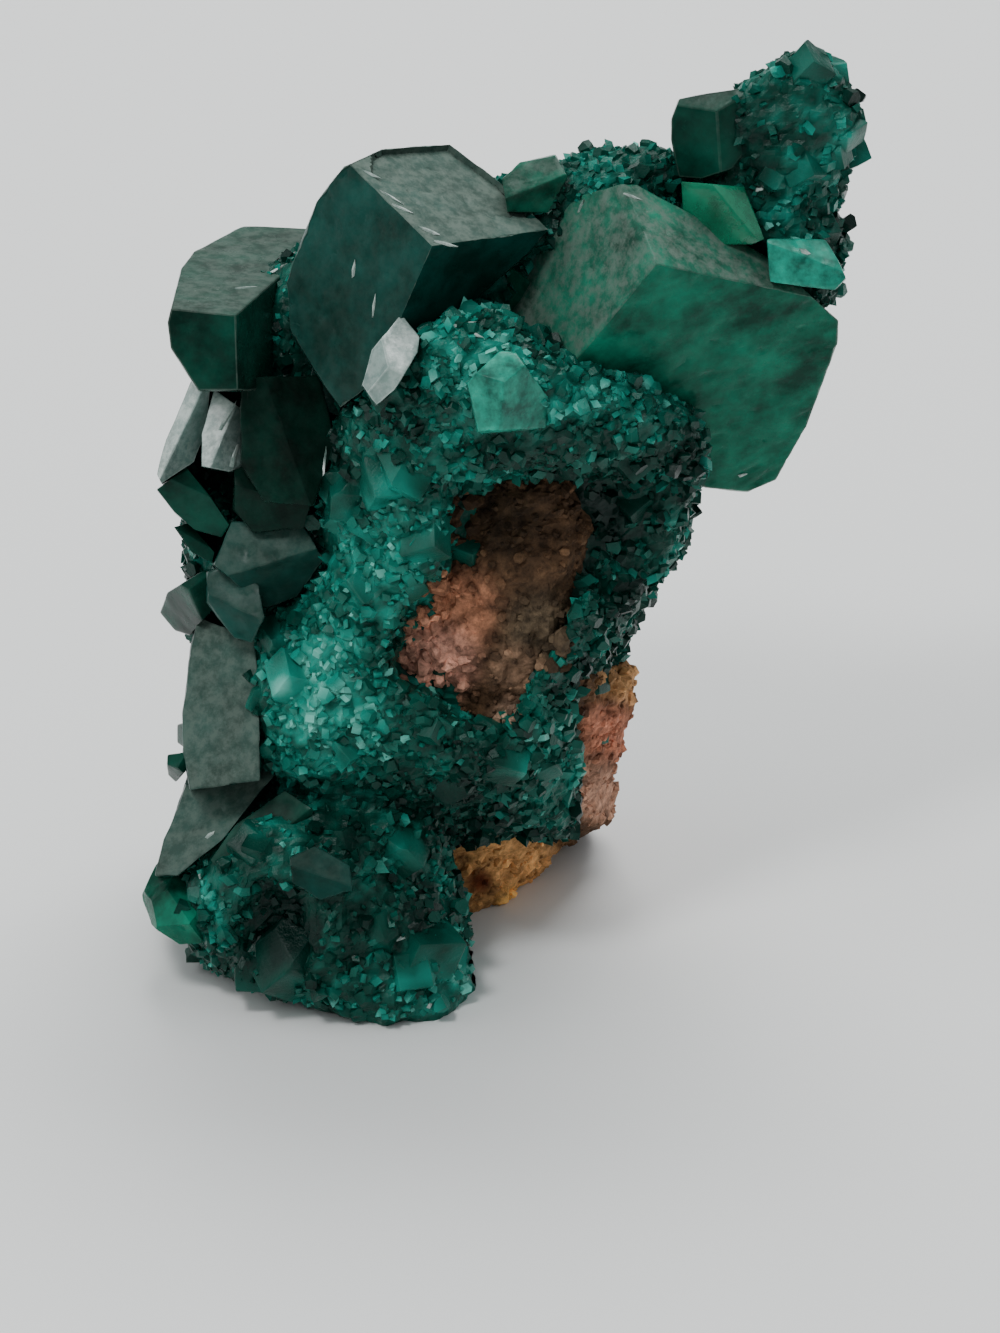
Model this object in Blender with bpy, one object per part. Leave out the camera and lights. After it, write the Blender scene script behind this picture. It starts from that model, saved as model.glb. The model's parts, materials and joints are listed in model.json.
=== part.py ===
"""A dioptase specimen: emerald green crystals grown together over brown matrix rock.

Run it with: blender --background --python part.py

The specimen is laid out as it is seen in its display view, from the front and
VIEW_PITCH above the floor. A spot is given in millimetres as (across, up, back):
across is right of the middle and up is above the foot, both as seen in that view,
and back is how far the spot lies behind the foot, along the floor.
"""

import math
import random
from collections import namedtuple

import bmesh
import bpy
from mathutils import Vector, noise
from mathutils.bvhtree import BVHTree

MM = 0.001
VIEW_PITCH = math.radians(30)
RISE, FALL = math.cos(VIEW_PITCH), math.sin(VIEW_PITCH)
RIGHT = Vector((1, 0, 0))
UPWARD = Vector((0, FALL, RISE))
TOWARD = Vector((0, -RISE, FALL))

# Dioptase is trigonal: a six-sided prism closed by three rhombohedron faces,
# whose normals lean this many degrees from the crystal's own axis.
RHOMB_LEAN = 51

CLEARANCE = 0.3  # mm left between the dioptase and the matrix that it grew on
FLOOR_CUT = 0.0  # mm, the level of the flat underside
BLOCK = 60.0  # mm, a blank bigger than any piece

Row = namedtuple("Row", "up left right front rear")
Crystal = namedtuple("Crystal", "name tip faces outline depth")
Boulder = namedtuple("Boulder", "name centre half_sizes faces")
Hollow = namedtuple("Hollow", "name floor flare outline")
Patch = namedtuple("Patch", "middle half_sizes count radii")
Hexagonal = namedtuple("Hexagonal", "name tip bearing tilt turn radius length")


def spot(across, up, back):
    """The point seen at (across, up) in the display view that lies back behind the foot."""
    return Vector((across, back, (up - back * FALL) / RISE))


def facing(bearing, tilt):
    """The normal of a face that leans tilt degrees from the viewer, towards bearing.

    bearing is counted in degrees anticlockwise from the right, as seen.
    """
    around, lean = math.radians(bearing), math.radians(tilt)
    sideways = RIGHT * math.cos(around) + UPWARD * math.sin(around)
    return TOWARD * math.cos(lean) + sideways * math.sin(lean)


def rhomb_faces(bearing, tilt, turn):
    """The three faces of a tip whose axis leans so. turn is the way one edge of it runs."""
    axis = facing(bearing, tilt)
    swing = TOWARD.rotation_difference(axis)
    return [swing @ facing(turn + 60 + 120 * face, RHOMB_LEAN) for face in range(3)]


# The crystals in front, each with the outline that shows, clockwise, and the faces
# that meet at its tip. The first three are the big rhombohedral ones along the top.
CRYSTALS = (
    Crystal("right", (6.2, 30.5, 3.0), rhomb_faces(45, 3, 350), (
        (2.4, 33.0), (4.8, 33.7), (7.6, 33.6), (10.8, 30.7), (13.5, 29.2), (13.4, 27.4),
        (12.2, 24.1), (11.0, 22.0), (9.9, 21.5), (8.2, 21.7), (4.0, 24.0), (-0.8, 28.6)), 13),
    Crystal("middle", (-2.7, 31.2, 3.2), rhomb_faces(21, 9, 10), (
        (-7.3, 33.0), (-6.2, 34.4), (-4.7, 35.1), (-2.0, 35.3), (0.0, 33.8), (1.9, 31.9),
        (0.0, 29.6), (-3.2, 27.2), (-6.2, 24.6), (-8.3, 27.8), (-8.5, 29.8)), 13),
    Crystal("left", (-10.5, 28.5, 5.0), rhomb_faces(43, 33, 43), (
        (-13.2, 28.2), (-12.7, 30.4), (-12.2, 31.1), (-10.6, 32.0), (-8.7, 32.8), (-6.8, 33.1),
        (-6.8, 26.0), (-10.0, 25.5), (-12.0, 25.5), (-13.1, 27.2)), 11),
    Crystal("tilted_small", (9.4, 32.5, 6.4), (facing(39, 38), facing(219, 24)), (
        (7.2, 33.8), (9.7, 33.6), (10.5, 31.5), (10.0, 31.3), (8.3, 31.3), (7.3, 32.0)), 5),
    Crystal("aqua_block", (11.6, 31.0, 5.6), (facing(300, 14), facing(60, 50)), (
        (10.6, 31.5), (13.0, 31.5), (13.4, 30.7), (13.8, 30.0), (13.3, 29.5), (10.7, 29.8)), 6),
    Crystal("knob_left", (8.6, 36.6, 8.4), (facing(215, 32), facing(105, 48), facing(330, 30)), (
        (7.1, 37.1), (8.2, 37.3), (9.6, 37.5), (10.1, 36.4), (9.9, 35.2), (9.2, 34.3),
        (8.0, 33.9), (7.1, 34.0), (6.8, 35.5), (6.8, 36.3)), 6),
    Crystal("ridge", (1.4, 33.6, 7.6), (facing(105, 45), facing(300, 40)), (
        (0.1, 33.9), (0.8, 34.6), (2.2, 34.9), (2.7, 34.0), (1.9, 32.6), (0.3, 32.6)), 6),
    Crystal("blade_outer", (-12.6, 24.0, 7.0), (facing(160, 42), facing(330, 50)), (
        (-12.3, 25.9), (-11.5, 25.9), (-11.7, 24.0), (-12.2, 22.7), (-13.5, 21.8),
        (-13.7, 22.2), (-13.3, 23.6)), 7),
    Crystal("blade_inner", (-10.9, 24.0, 6.4), (facing(140, 34), facing(350, 45)), (
        (-11.4, 25.6), (-10.3, 24.8), (-10.1, 23.4), (-10.0, 22.6), (-10.8, 22.3),
        (-11.9, 22.5), (-11.9, 23.8)), 7),
    Crystal("side_block", (-12.2, 21.6, 6.4), (facing(245, 34), facing(65, 40)), (
        (-13.7, 21.6), (-12.4, 22.6), (-11.6, 21.4), (-10.7, 20.3), (-11.1, 19.7),
        (-12.2, 20.0), (-13.0, 20.7)), 7),
    Crystal("side_sliver", (-12.3, 19.7, 7.0), (facing(240, 20), facing(60, 40)), (
        (-13.0, 20.1), (-12.4, 20.3), (-11.4, 19.1), (-11.5, 18.7), (-12.3, 19.1)), 6),
    Crystal("side_group", (-12.4, 17.6, 6.6), rhomb_faces(200, 20, 40), (
        (-13.6, 16.7), (-13.3, 17.5), (-11.8, 18.4), (-11.2, 17.6), (-11.5, 16.8),
        (-12.4, 15.8), (-13.0, 16.0)), 7),
    Crystal("slate_upper", (-9.4, 18.6, 4.8), (facing(140, 16), facing(280, 52)), (
        (-11.4, 18.6), (-10.7, 20.3), (-8.0, 20.4), (-7.0, 18.8), (-8.1, 17.3), (-9.4, 16.8)), 9),
    Crystal("slate_lower", (-10.6, 16.9, 4.6), (facing(120, 16), facing(235, 55)), (
        (-11.7, 17.1), (-11.7, 18.3), (-10.7, 18.7), (-9.6, 17.8), (-9.4, 16.5),
        (-9.9, 15.5), (-10.6, 15.7)), 8),
    Crystal("grey_face_upper", (-11.4, 13.4, 5.2), (facing(160, 28),), (
        (-12.7, 12.7), (-12.4, 14.9), (-12.1, 16.6), (-9.8, 15.6), (-9.6, 13.2), (-9.6, 10.0),
        (-12.4, 9.6), (-12.7, 11.1)), 10),
    Crystal("grey_face_lower", (-11.6, 8.8, 4.4), (facing(135, 40),), (
        (-12.9, 9.6), (-12.4, 11.0), (-9.1, 10.4), (-8.8, 9.4), (-11.1, 7.6), (-12.2, 6.2),
        (-13.9, 6.2), (-13.4, 7.6)), 9),
    Crystal("edge_dot_upper", (-12.2, 11.8, 5.0), rhomb_faces(220, 25, 10), (
        (-12.9, 12.2), (-12.2, 12.4), (-11.4, 11.6), (-12.0, 10.9), (-12.9, 11.5)), 4),
    Crystal("edge_dot_lower", (-12.9, 10.5, 5.4), rhomb_faces(220, 25, 60), (
        (-13.3, 11.0), (-12.6, 11.1), (-12.3, 10.7), (-13.0, 9.9), (-13.3, 10.2)), 4),
    Crystal("chip", (-4.4, 26.4, 0.8), (facing(60, 38), facing(250, 20), facing(160, 45)), (
        (-5.5, 25.7), (-5.1, 27.1), (-3.9, 28.5), (-3.2, 27.6), (-3.3, 27.0), (-4.2, 25.5),
        (-4.9, 24.9)), 4),
    Crystal("crown", (0.2, 25.8, 0.2), (facing(100, 36), facing(220, 30), facing(330, 48)), (
        (-1.3, 25.8), (0.0, 27.0), (0.6, 27.0), (2.0, 25.1), (1.8, 24.0), (-0.9, 23.8)), 4),
    Crystal("foot_face", (-7.2, 6.2, 0.2), (facing(75, 24), facing(250, 40)), (
        (-8.4, 6.9), (-7.4, 7.4), (-6.0, 6.6), (-5.9, 5.6), (-7.2, 5.2), (-8.3, 5.9)), 4),
    Crystal("foot_left_face", (-9.4, 7.4, 2.2), (facing(150, 26), facing(300, 50)), (
        (-11.6, 6.8), (-10.6, 8.2), (-8.6, 9.6), (-7.4, 8.8), (-8.4, 6.4), (-10.6, 5.6)), 7),
)

# Crystals that point away from the viewer, as plain six-sided prisms.
HIDDEN_CRYSTALS = (
    Hexagonal("back_upper", (2.0, 28.6, 15.5), 20, 152, 15, 4.4, 9),
    Hexagonal("back_right", (7.0, 24.4, 14.5), 330, 132, 65, 3.2, 8),
    Hexagonal("back_left", (-7.6, 24.0, 16.0), 160, 146, 40, 3.6, 8),
    Hexagonal("back_low", (-8.6, 14.4, 17.4), 200, 140, 25, 2.8, 7),
    Hexagonal("back_small", (-2.6, 21.6, 18.4), 250, 158, 50, 2.2, 6),
)

BOULDERS = (
    Boulder("foot_left", (-12.5, 5.3, 4.6), (1.7, 2.6, 1.3), 26),
)

# The granular mass in front, the darker mass behind it that carries the crystals,
# and the foot, as rows of level, left edge, right edge, front and rear.
FRONT_MASS = (
    Row(28.6, -1.6, 0.4, 3.6, 8.0),
    Row(27.6, -4.0, 1.6, 2.2, 10.5),
    Row(26.2, -5.6, 5.2, 1.6, 12.5),
    Row(24.8, -6.4, 7.7, 1.5, 13.0),
    Row(22.6, -7.1, 8.3, 1.7, 13.8),
    Row(20.4, -7.4, 7.6, 2.0, 14.5),
    Row(18.6, -7.5, 6.9, 2.2, 15.0),
    Row(16.8, -9.0, 5.5, 2.4, 15.5),
    Row(15.0, -10.5, 4.8, 2.3, 15.5),
    Row(13.0, -11.1, 4.0, 2.2, 15.5),
    Row(11.0, -11.2, 3.5, 2.3, 15.5),
    Row(9.7, -9.4, 3.2, 3.2, 15.4),
    Row(8.7, -9.2, 3.1, 4.6, 15.0),
    Row(7.8, -8.0, 2.9, 6.4, 14.5),
)
BACK_MASS = (
    Row(34.2, 0.8, 6.4, 10.5, 13.5),
    Row(32.6, -5.0, 7.8, 8.8, 14.8),
    Row(30.2, -9.4, 10.4, 7.8, 15.8),
    Row(27.6, -11.8, 11.2, 7.2, 16.6),
    Row(25.2, -12.1, 10.2, 6.6, 17.0),
    Row(22.6, -12.4, 8.4, 6.4, 17.2),
    Row(20.0, -12.3, 7.2, 6.4, 17.5),
    Row(17.4, -12.3, 5.4, 6.0, 17.6),
    Row(14.8, -12.2, 4.5, 5.8, 17.6),
    Row(12.2, -12.2, 3.6, 5.8, 17.4),
    Row(9.8, -12.3, 3.0, 5.8, 17.2),
    Row(7.6, -12.0, 0.0, 6.0, 16.0),
)
KNOB_MASS = (
    Row(38.8, 11.4, 12.7, 10.0, 11.6),
    Row(38.0, 10.2, 13.5, 9.2, 12.4),
    Row(37.0, 8.8, 14.2, 8.6, 13.0),
    Row(36.0, 8.0, 14.5, 8.4, 13.2),
    Row(35.0, 7.6, 14.3, 8.2, 13.2),
    Row(33.8, 7.7, 13.6, 8.0, 13.0),
    Row(32.4, 8.0, 13.1, 7.8, 12.8),
    Row(30.9, 8.6, 13.5, 7.4, 12.6),
    Row(29.2, 9.0, 13.2, 7.2, 12.4),
)
RIDGE_MASS = (
    Row(35.1, 4.4, 6.4, 9.6, 11.4),
    Row(34.5, 2.0, 7.1, 8.6, 12.4),
    Row(33.6, 0.4, 7.4, 7.8, 13.0),
    Row(32.4, -0.6, 7.6, 7.4, 13.4),
    Row(30.8, -1.0, 7.6, 7.4, 13.4),
)
FOOT_MASS = (
    Row(9.6, -8.4, -4.0, 4.4, 9.0),
    Row(8.4, -10.8, -2.2, 2.6, 11.0),
    Row(7.4, -11.8, -1.9, 1.5, 12.0),
    Row(6.2, -12.6, -2.0, 0.7, 12.0),
    Row(5.0, -12.7, -1.7, 0.4, 12.0),
    Row(3.6, -12.3, -1.7, 0.2, 11.0),
    Row(2.4, -11.5, -1.2, 0.2, 9.0),
    Row(1.2, -8.7, -1.1, 0.3, 7.0),
    Row(0.4, -5.8, -1.5, 0.4, 5.0),
    Row(-0.1, -3.8, -2.1, 0.8, 3.0),
)
# The matrix: a brown rock core with a broad flat base at the rear. It shows in the
# hollow in front, as a strip on the right and as a lump under the right-hand side.
MATRIX = (
    Row(23.0, -1.0, 2.4, 6.2, 11.0),
    Row(21.4, -2.4, 3.6, 4.6, 13.0),
    Row(19.4, -3.0, 4.0, 4.2, 15.0),
    Row(17.4, -3.8, 3.8, 3.8, 16.2),
    Row(15.2, -4.8, 4.2, 3.7, 17.0),
    Row(14.2, -4.6, 5.1, 4.0, 17.4),
    Row(12.6, -4.0, 4.9, 4.4, 17.7),
    Row(11.2, -4.0, 4.6, 5.8, 17.9),
    Row(9.6, -5.0, 4.3, 7.2, 18.0),
    Row(8.3, -7.0, 4.0, 8.0, 18.2),
    Row(7.6, -8.5, 2.6, 8.2, 18.2),
    Row(6.9, -9.0, 1.8, 8.3, 17.0),
    Row(5.8, -9.0, 1.1, 8.6, 14.6),
    Row(4.9, -8.5, 0.3, 9.0, 12.5),
    Row(4.5, -8.0, -0.4, 9.2, 11.0),
)

# Hollows in the front mass: the first two lay the matrix bare.
HOLLOWS = (
    Hollow("matrix_upper", 5.0, 5, (
        (-1.9, 21.9), (1.4, 22.3), (4.6, 22.0), (4.8, 20.4), (3.6, 17.6), (2.2, 15.6),
        (-2.0, 16.0), (-2.8, 17.6), (-2.2, 19.6))),
    Hollow("matrix_lower", 4.8, 12, (
        (-2.9, 17.6), (3.0, 17.4), (2.2, 15.6), (2.2, 13.8), (1.2, 11.7), (-0.1, 11.8),
        (-2.4, 13.3), (-4.1, 14.5), (-4.0, 15.4))),
    Hollow("dark", 5.8, 10, (
        (1.6, 22.0), (6.4, 22.1), (7.6, 21.9), (7.3, 18.8), (5.6, 17.0), (4.0, 17.2),
        (3.0, 18.8))),
    Hollow("foot", 1.6, 30, (
        (-10.2, 4.6), (-9.4, 5.6), (-8.0, 5.2), (-7.8, 3.6), (-8.8, 2.8), (-10.0, 3.4))),
)

# Patches of smaller crystals that stud the masses: the middle of the patch, its
# half-sizes, how many crystals, and the range of their radii.
STUD_PATCHES = (
    Patch((-3.0, 20.0, 3.0), (7.0, 6.0, 2.0), 30, (0.7, 1.3)),
    Patch((-3.0, 11.0, 5.0), (6.0, 6.0, 3.0), 14, (0.7, 1.2)),
    Patch((-7.0, 4.5, 4.0), (4.0, 2.0, 4.0), 12, (0.7, 1.2)),
    Patch((11.6, 35.6, 10.0), (1.5, 1.5, 2.5), 9, (0.6, 1.0)),
    Patch((4.4, 34.4, 10.0), (2.5, 1.0, 1.0), 5, (0.5, 0.8)),
    Patch((-3.0, 22.0, 14.0), (7.0, 6.0, 9.0), 12, (0.9, 1.7)),
)
STUD_SEED = 11
STUD_LOWEST = 1.2  # mm above the floor

ROWS_BETWEEN = 1
SIDES = 22
SQUARENESS = 2.5
LUMPS = ((4.5, 0.55), (1.7, 0.35))  # mm across and mm high


# Solids cut from a blank

def cut_blank(centre, planes):
    """The convex solid inside all the planes, each given as a point and its outward normal."""
    solid = bmesh.new()
    bmesh.ops.create_cube(solid, size=BLOCK)
    bmesh.ops.translate(solid, verts=solid.verts, vec=centre)
    for point, normal in planes:
        trim(solid, point, normal)
    return solid


def trim(solid, point, normal):
    """Cuts off what lies outside a plane, and closes the cut with one flat face."""
    everything = solid.verts[:] + solid.edges[:] + solid.faces[:]
    cut = bmesh.ops.bisect_plane(
        solid, geom=everything, dist=1e-5, plane_co=point, plane_no=normal, clear_outer=True
    )
    rim = [part for part in cut["geom_cut"] if isinstance(part, bmesh.types.BMEdge)]
    if rim:
        bmesh.ops.holes_fill(solid, edges=rim)


def outline_planes(outline, back, flare):
    """Planes through the edges of an outline, at back, that open towards the viewer."""
    opening = math.radians(flare)
    planes = []
    for (left, low), (right, high) in zip(outline, outline[1:] + outline[:1]):
        out = (UPWARD * (right - left) - RIGHT * (high - low)).normalized()
        planes.append((spot(left, low, back), out * math.cos(opening) - TOWARD * math.sin(opening)))
    return planes


def crystal_solid(crystal):
    """The crystal's outline carried back from the faces of its tip."""
    tip = spot(*crystal.tip)
    planes = outline_planes(crystal.outline, crystal.tip[2], 0)
    planes += [(tip, normal) for normal in crystal.faces]
    planes.append((tip - TOWARD * crystal.depth, -TOWARD))
    return cut_blank(tip, planes)


def hollow_solid(hollow):
    """The blank that a hollow is cut with: its floor, and walls that flare to the front."""
    floor = spot(*hollow.outline[0], hollow.floor)
    planes = outline_planes(hollow.outline, hollow.floor, hollow.flare)
    planes.append((floor, Vector((0, 1, 0))))
    return cut_blank(floor, planes)


def hexagonal_solid(tip, axis, turn, radii, length):
    """A six-sided prism along an axis, closed by a three-faced tip."""
    swing = TOWARD.rotation_difference(axis)
    planes = [(tip - axis * length, -axis)]
    for side, radius in enumerate(radii):
        out = swing @ facing(turn + 30 + 60 * side, 90)
        planes.append((tip + out * radius, out))
    for face in range(3):
        planes.append((tip, swing @ facing(turn + 60 + 120 * face, RHOMB_LEAN)))
    return cut_blank(tip, planes)


def boulder_solid(centre, half_sizes, faces, seed):
    """A faceted boulder: flat faces that touch an ellipsoid, spread evenly over it."""
    dice = random.Random(seed)
    golden = math.pi * (3 - math.sqrt(5))
    planes = []
    for index in range(faces):
        level = 1 - 2 * (index + 0.5) / faces
        around = golden * index + dice.uniform(-0.25, 0.25)
        ring = math.sqrt(1 - level * level)
        unit = Vector((ring * math.cos(around), ring * math.sin(around), level))
        point = centre + Vector([u * s for u, s in zip(unit, half_sizes)])
        normal = Vector([u / s for u, s in zip(unit, half_sizes)]).normalized()
        planes.append((point, normal))
    return cut_blank(centre, planes)


# The lumpy masses

def smooth_rows(rows):
    """The rows with ROWS_BETWEEN more between each two, on a smooth curve through them."""
    finer = []
    for index in range(len(rows) - 1):
        before = rows[max(index - 1, 0)]
        start, end = rows[index], rows[index + 1]
        after = rows[min(index + 2, len(rows) - 1)]
        for step in range(ROWS_BETWEEN + 1):
            t = step / (ROWS_BETWEEN + 1)
            finer.append(Row(*(
                b + t * ((c - a) / 2 + t * ((a - 2.5 * b + 2 * c - d / 2)
                         + t * (-a / 2 + 1.5 * b - 1.5 * c + d / 2)))
                for a, b, c, d in zip(before, start, end, after)
            )))
    finer.append(rows[-1])
    return finer


def ring_point(row, angle, grow):
    """A point on a row's outline, a rounded square from left to right and front to rear."""
    cosine, sine = math.cos(angle), math.sin(angle)
    power = 2 / SQUARENESS
    wide = math.copysign(abs(cosine) ** power, cosine)
    deep = math.copysign(abs(sine) ** power, sine)
    across = (row.left + row.right) / 2 + wide * ((row.right - row.left) / 2 + grow)
    near, far = (row.up * FALL - row.front) / RISE, (row.up * FALL - row.rear) / RISE
    toward = (near + far) / 2 + deep * ((near - far) / 2 + grow)
    return RIGHT * across + UPWARD * row.up + TOWARD * toward, RIGHT * wide + TOWARD * deep


def lumpiness(point):
    """How far the surface swells out at a point."""
    return sum(height * noise.noise(point / size) for size, height in LUMPS)


def mass_solid(rows, grow=0.0):
    """A lumpy mass through the rows, swollen by grow, and flat where it meets the floor."""
    solid = bmesh.new()
    rings = []
    levels = smooth_rows(rows)
    for level, row in enumerate(levels):
        lift = grow * (1 - 2 * level / (len(levels) - 1))
        ring = []
        for side in range(SIDES):
            point, out = ring_point(row, 2 * math.pi * side / SIDES, grow)
            swell = lumpiness(point - out * grow)
            ring.append(solid.verts.new(point + out * swell + UPWARD * lift))
        rings.append(ring)
    for above, below in zip(rings, rings[1:]):
        for side in range(SIDES):
            after = (side + 1) % SIDES
            solid.faces.new((above[side], below[side], below[after], above[after]))
    for ring, flip in ((rings[0], False), (rings[-1], True)):
        middle = sum((v.co for v in ring), Vector()) / SIDES
        pole = solid.verts.new(middle)
        for side in range(SIDES):
            pair = (ring[side], ring[(side + 1) % SIDES])
            solid.faces.new((pole, *(reversed(pair) if flip else pair)))
    bmesh.ops.triangulate(solid, faces=solid.faces)
    bmesh.ops.recalc_face_normals(solid, faces=solid.faces)
    return solid


# Objects and Booleans

def to_object(name, solid, group=None):
    """A new object that holds the solid, in millimetres."""
    mesh = bpy.data.meshes.new(name)
    bmesh.ops.recalc_face_normals(solid, faces=solid.faces)
    solid.to_mesh(mesh)
    solid.free()
    thing = bpy.data.objects.new(name, mesh)
    (group or bpy.context.scene.collection).objects.link(thing)
    return thing


def helper_group(name):
    group = bpy.data.collections.new(name)
    bpy.context.scene.collection.children.link(group)
    return group


def combine(thing, group, operation, solver="MANIFOLD"):
    """Joins everything in a group to the thing, or cuts it all away, and drops the group."""
    boolean = thing.modifiers.new(operation.lower(), "BOOLEAN")
    boolean.solver = solver
    boolean.operation = operation
    boolean.operand_type = "COLLECTION"
    boolean.collection = group
    bake_modifiers(thing)
    for helper in list(group.objects):
        bpy.data.objects.remove(helper)
    bpy.data.collections.remove(group)


def bake_modifiers(thing):
    graph = bpy.context.evaluated_depsgraph_get()
    graph.update()
    made = bpy.data.meshes.new_from_object(thing.evaluated_get(graph))
    thing.modifiers.clear()
    thing.data = made


def level_floor(thing):
    """Trims the thing flat at the floor."""
    solid = bmesh.new()
    solid.from_mesh(thing.data)
    trim(solid, Vector((0, 0, FLOOR_CUT)), Vector((0, 0, -1)))
    bmesh.ops.triangulate(solid, faces=solid.faces)
    solid.to_mesh(thing.data)
    solid.free()


def keep_outer_shell(thing):
    """Drops the hollows that are sealed inside the thing, and keeps its outer surface."""
    solid = bmesh.new()
    solid.from_mesh(thing.data)
    unseen = set(solid.verts)
    shells = []
    while unseen:
        shell, queue = set(), [unseen.pop()]
        while queue:
            vertex = queue.pop()
            shell.add(vertex)
            near = {edge.other_vert(vertex) for edge in vertex.link_edges} & unseen
            unseen -= near
            queue.extend(near)
        shells.append(shell)
    outer = max(shells, key=len)
    inner = [vertex for vertex in solid.verts if vertex not in outer]
    bmesh.ops.delete(solid, geom=inner, context="VERTS")
    solid.to_mesh(thing.data)
    solid.free()


def stone_material(name, colour, roughness):
    material = bpy.data.materials.new(name)
    material.use_nodes = True
    shader = material.node_tree.nodes["Principled BSDF"]
    shader.inputs["Base Color"].default_value = (*colour, 1)
    shader.inputs["Roughness"].default_value = roughness
    shader.inputs["Metallic"].default_value = 0
    return material


# The two pieces

def add_big_crystals(group):
    for crystal in CRYSTALS:
        to_object("crystal_" + crystal.name, crystal_solid(crystal), group)
    for crystal in HIDDEN_CRYSTALS:
        axis = facing(crystal.bearing, crystal.tilt)
        radii = [crystal.radius] * 6
        solid = hexagonal_solid(spot(*crystal.tip), axis, crystal.turn, radii, crystal.length)
        to_object("crystal_" + crystal.name, solid, group)
    for index, boulder in enumerate(BOULDERS):
        centre = spot(*boulder.centre)
        solid = boulder_solid(centre, boulder.half_sizes, boulder.faces, index)
        to_object("boulder_" + boulder.name, solid, group)


def add_studs(group, ground):
    """Small crystals that stand on the masses, each one roughly square to the surface."""
    dice = random.Random(STUD_SEED)
    surface = BVHTree.FromPolygons(
        [v.co[:] for v in ground.data.vertices], [p.vertices[:] for p in ground.data.polygons]
    )
    for number, patch in enumerate(STUD_PATCHES):
        middle = spot(*patch.middle)
        made = 0
        while made < patch.count:
            aim = middle + Vector([dice.uniform(-size, size) for size in patch.half_sizes])
            hit, normal = outer_surface(surface, aim, dice)
            if hit.z < STUD_LOWEST:
                continue
            radius = dice.uniform(*patch.radii)
            axis = (normal + Vector([dice.uniform(-0.5, 0.5) for _ in range(3)])).normalized()
            radii = [radius * dice.uniform(0.8, 1.1) for _ in range(6)]
            tip = hit + axis * radius * dice.uniform(0.5, 0.9)
            solid = hexagonal_solid(tip, axis, dice.uniform(0, 120), radii, 3.2 * radius)
            to_object(f"stud_{number}_{made}", solid, group)
            made += 1


def outer_surface(surface, aim, dice):
    """Where a ray from outside, in a random direction towards aim, meets the surface."""
    while True:
        way = Vector([dice.gauss(0, 1) for _ in range(3)]).normalized()
        hit, normal, _, _ = surface.ray_cast(aim + way * BLOCK, -way)
        if hit is not None:
            return hit, normal


def make_dioptase():
    thing = to_object("dioptase_crystals", mass_solid(BACK_MASS))
    group = helper_group("masses")
    to_object("front_mass", mass_solid(FRONT_MASS), group)
    to_object("foot_mass", mass_solid(FOOT_MASS), group)
    to_object("ridge_mass", mass_solid(RIDGE_MASS), group)
    to_object("knob_mass", mass_solid(KNOB_MASS), group)
    combine(thing, group, "UNION", "EXACT")

    hollows = helper_group("hollows")
    for hollow in HOLLOWS:
        to_object("hollow_" + hollow.name, hollow_solid(hollow), hollows)
    combine(thing, hollows, "DIFFERENCE")

    group = helper_group("crystals")
    add_studs(group, thing)
    add_big_crystals(group)
    combine(thing, group, "UNION")

    room = helper_group("room")
    to_object("room_for_matrix", mass_solid(MATRIX, CLEARANCE), room)
    combine(thing, room, "DIFFERENCE")
    level_floor(thing)
    keep_outer_shell(thing)
    return thing


def make_matrix():
    thing = to_object("matrix_rock", mass_solid(MATRIX))
    level_floor(thing)
    return thing


def finish_piece(thing, material):
    """Gives the piece its material and brings it from millimetres to metres."""
    thing.data.materials.clear()
    thing.data.materials.append(material)
    for vertex in thing.data.vertices:
        vertex.co *= MM


def centre_on_base(things):
    """Moves the pieces so that the origin is at the bottom centre of their common box."""
    points = [v.co for thing in things for v in thing.data.vertices]
    low = Vector([min(p[axis] for p in points) for axis in range(3)])
    high = Vector([max(p[axis] for p in points) for axis in range(3)])
    shift = Vector(((low.x + high.x) / 2, (low.y + high.y) / 2, low.z))
    for thing in things:
        for vertex in thing.data.vertices:
            vertex.co -= shift


def main():
    for thing in list(bpy.data.objects):
        bpy.data.objects.remove(thing)
    dioptase = make_dioptase()
    matrix = make_matrix()
    finish_piece(dioptase, stone_material("dioptase", (0.0, 0.12, 0.075), 0.25))
    finish_piece(matrix, stone_material("matrix", (0.30, 0.17, 0.10), 0.85))
    centre_on_base((dioptase, matrix))


main()
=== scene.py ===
"""A dioptase specimen: glassy emerald crystals and a granular crust over brown rock.

As in the CAD, a spot is given in millimetres as (across, up, back): across and up as
seen in the display view, VIEW_PITCH above the floor, and back along the floor. The
shapes are made in millimetres and brought to metres when they become objects.
"""

import json
import math
import random
from collections import namedtuple

import bmesh
import bpy
import numpy as np
from mathutils import Matrix, Vector, noise
from mathutils.bvhtree import BVHTree

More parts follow.
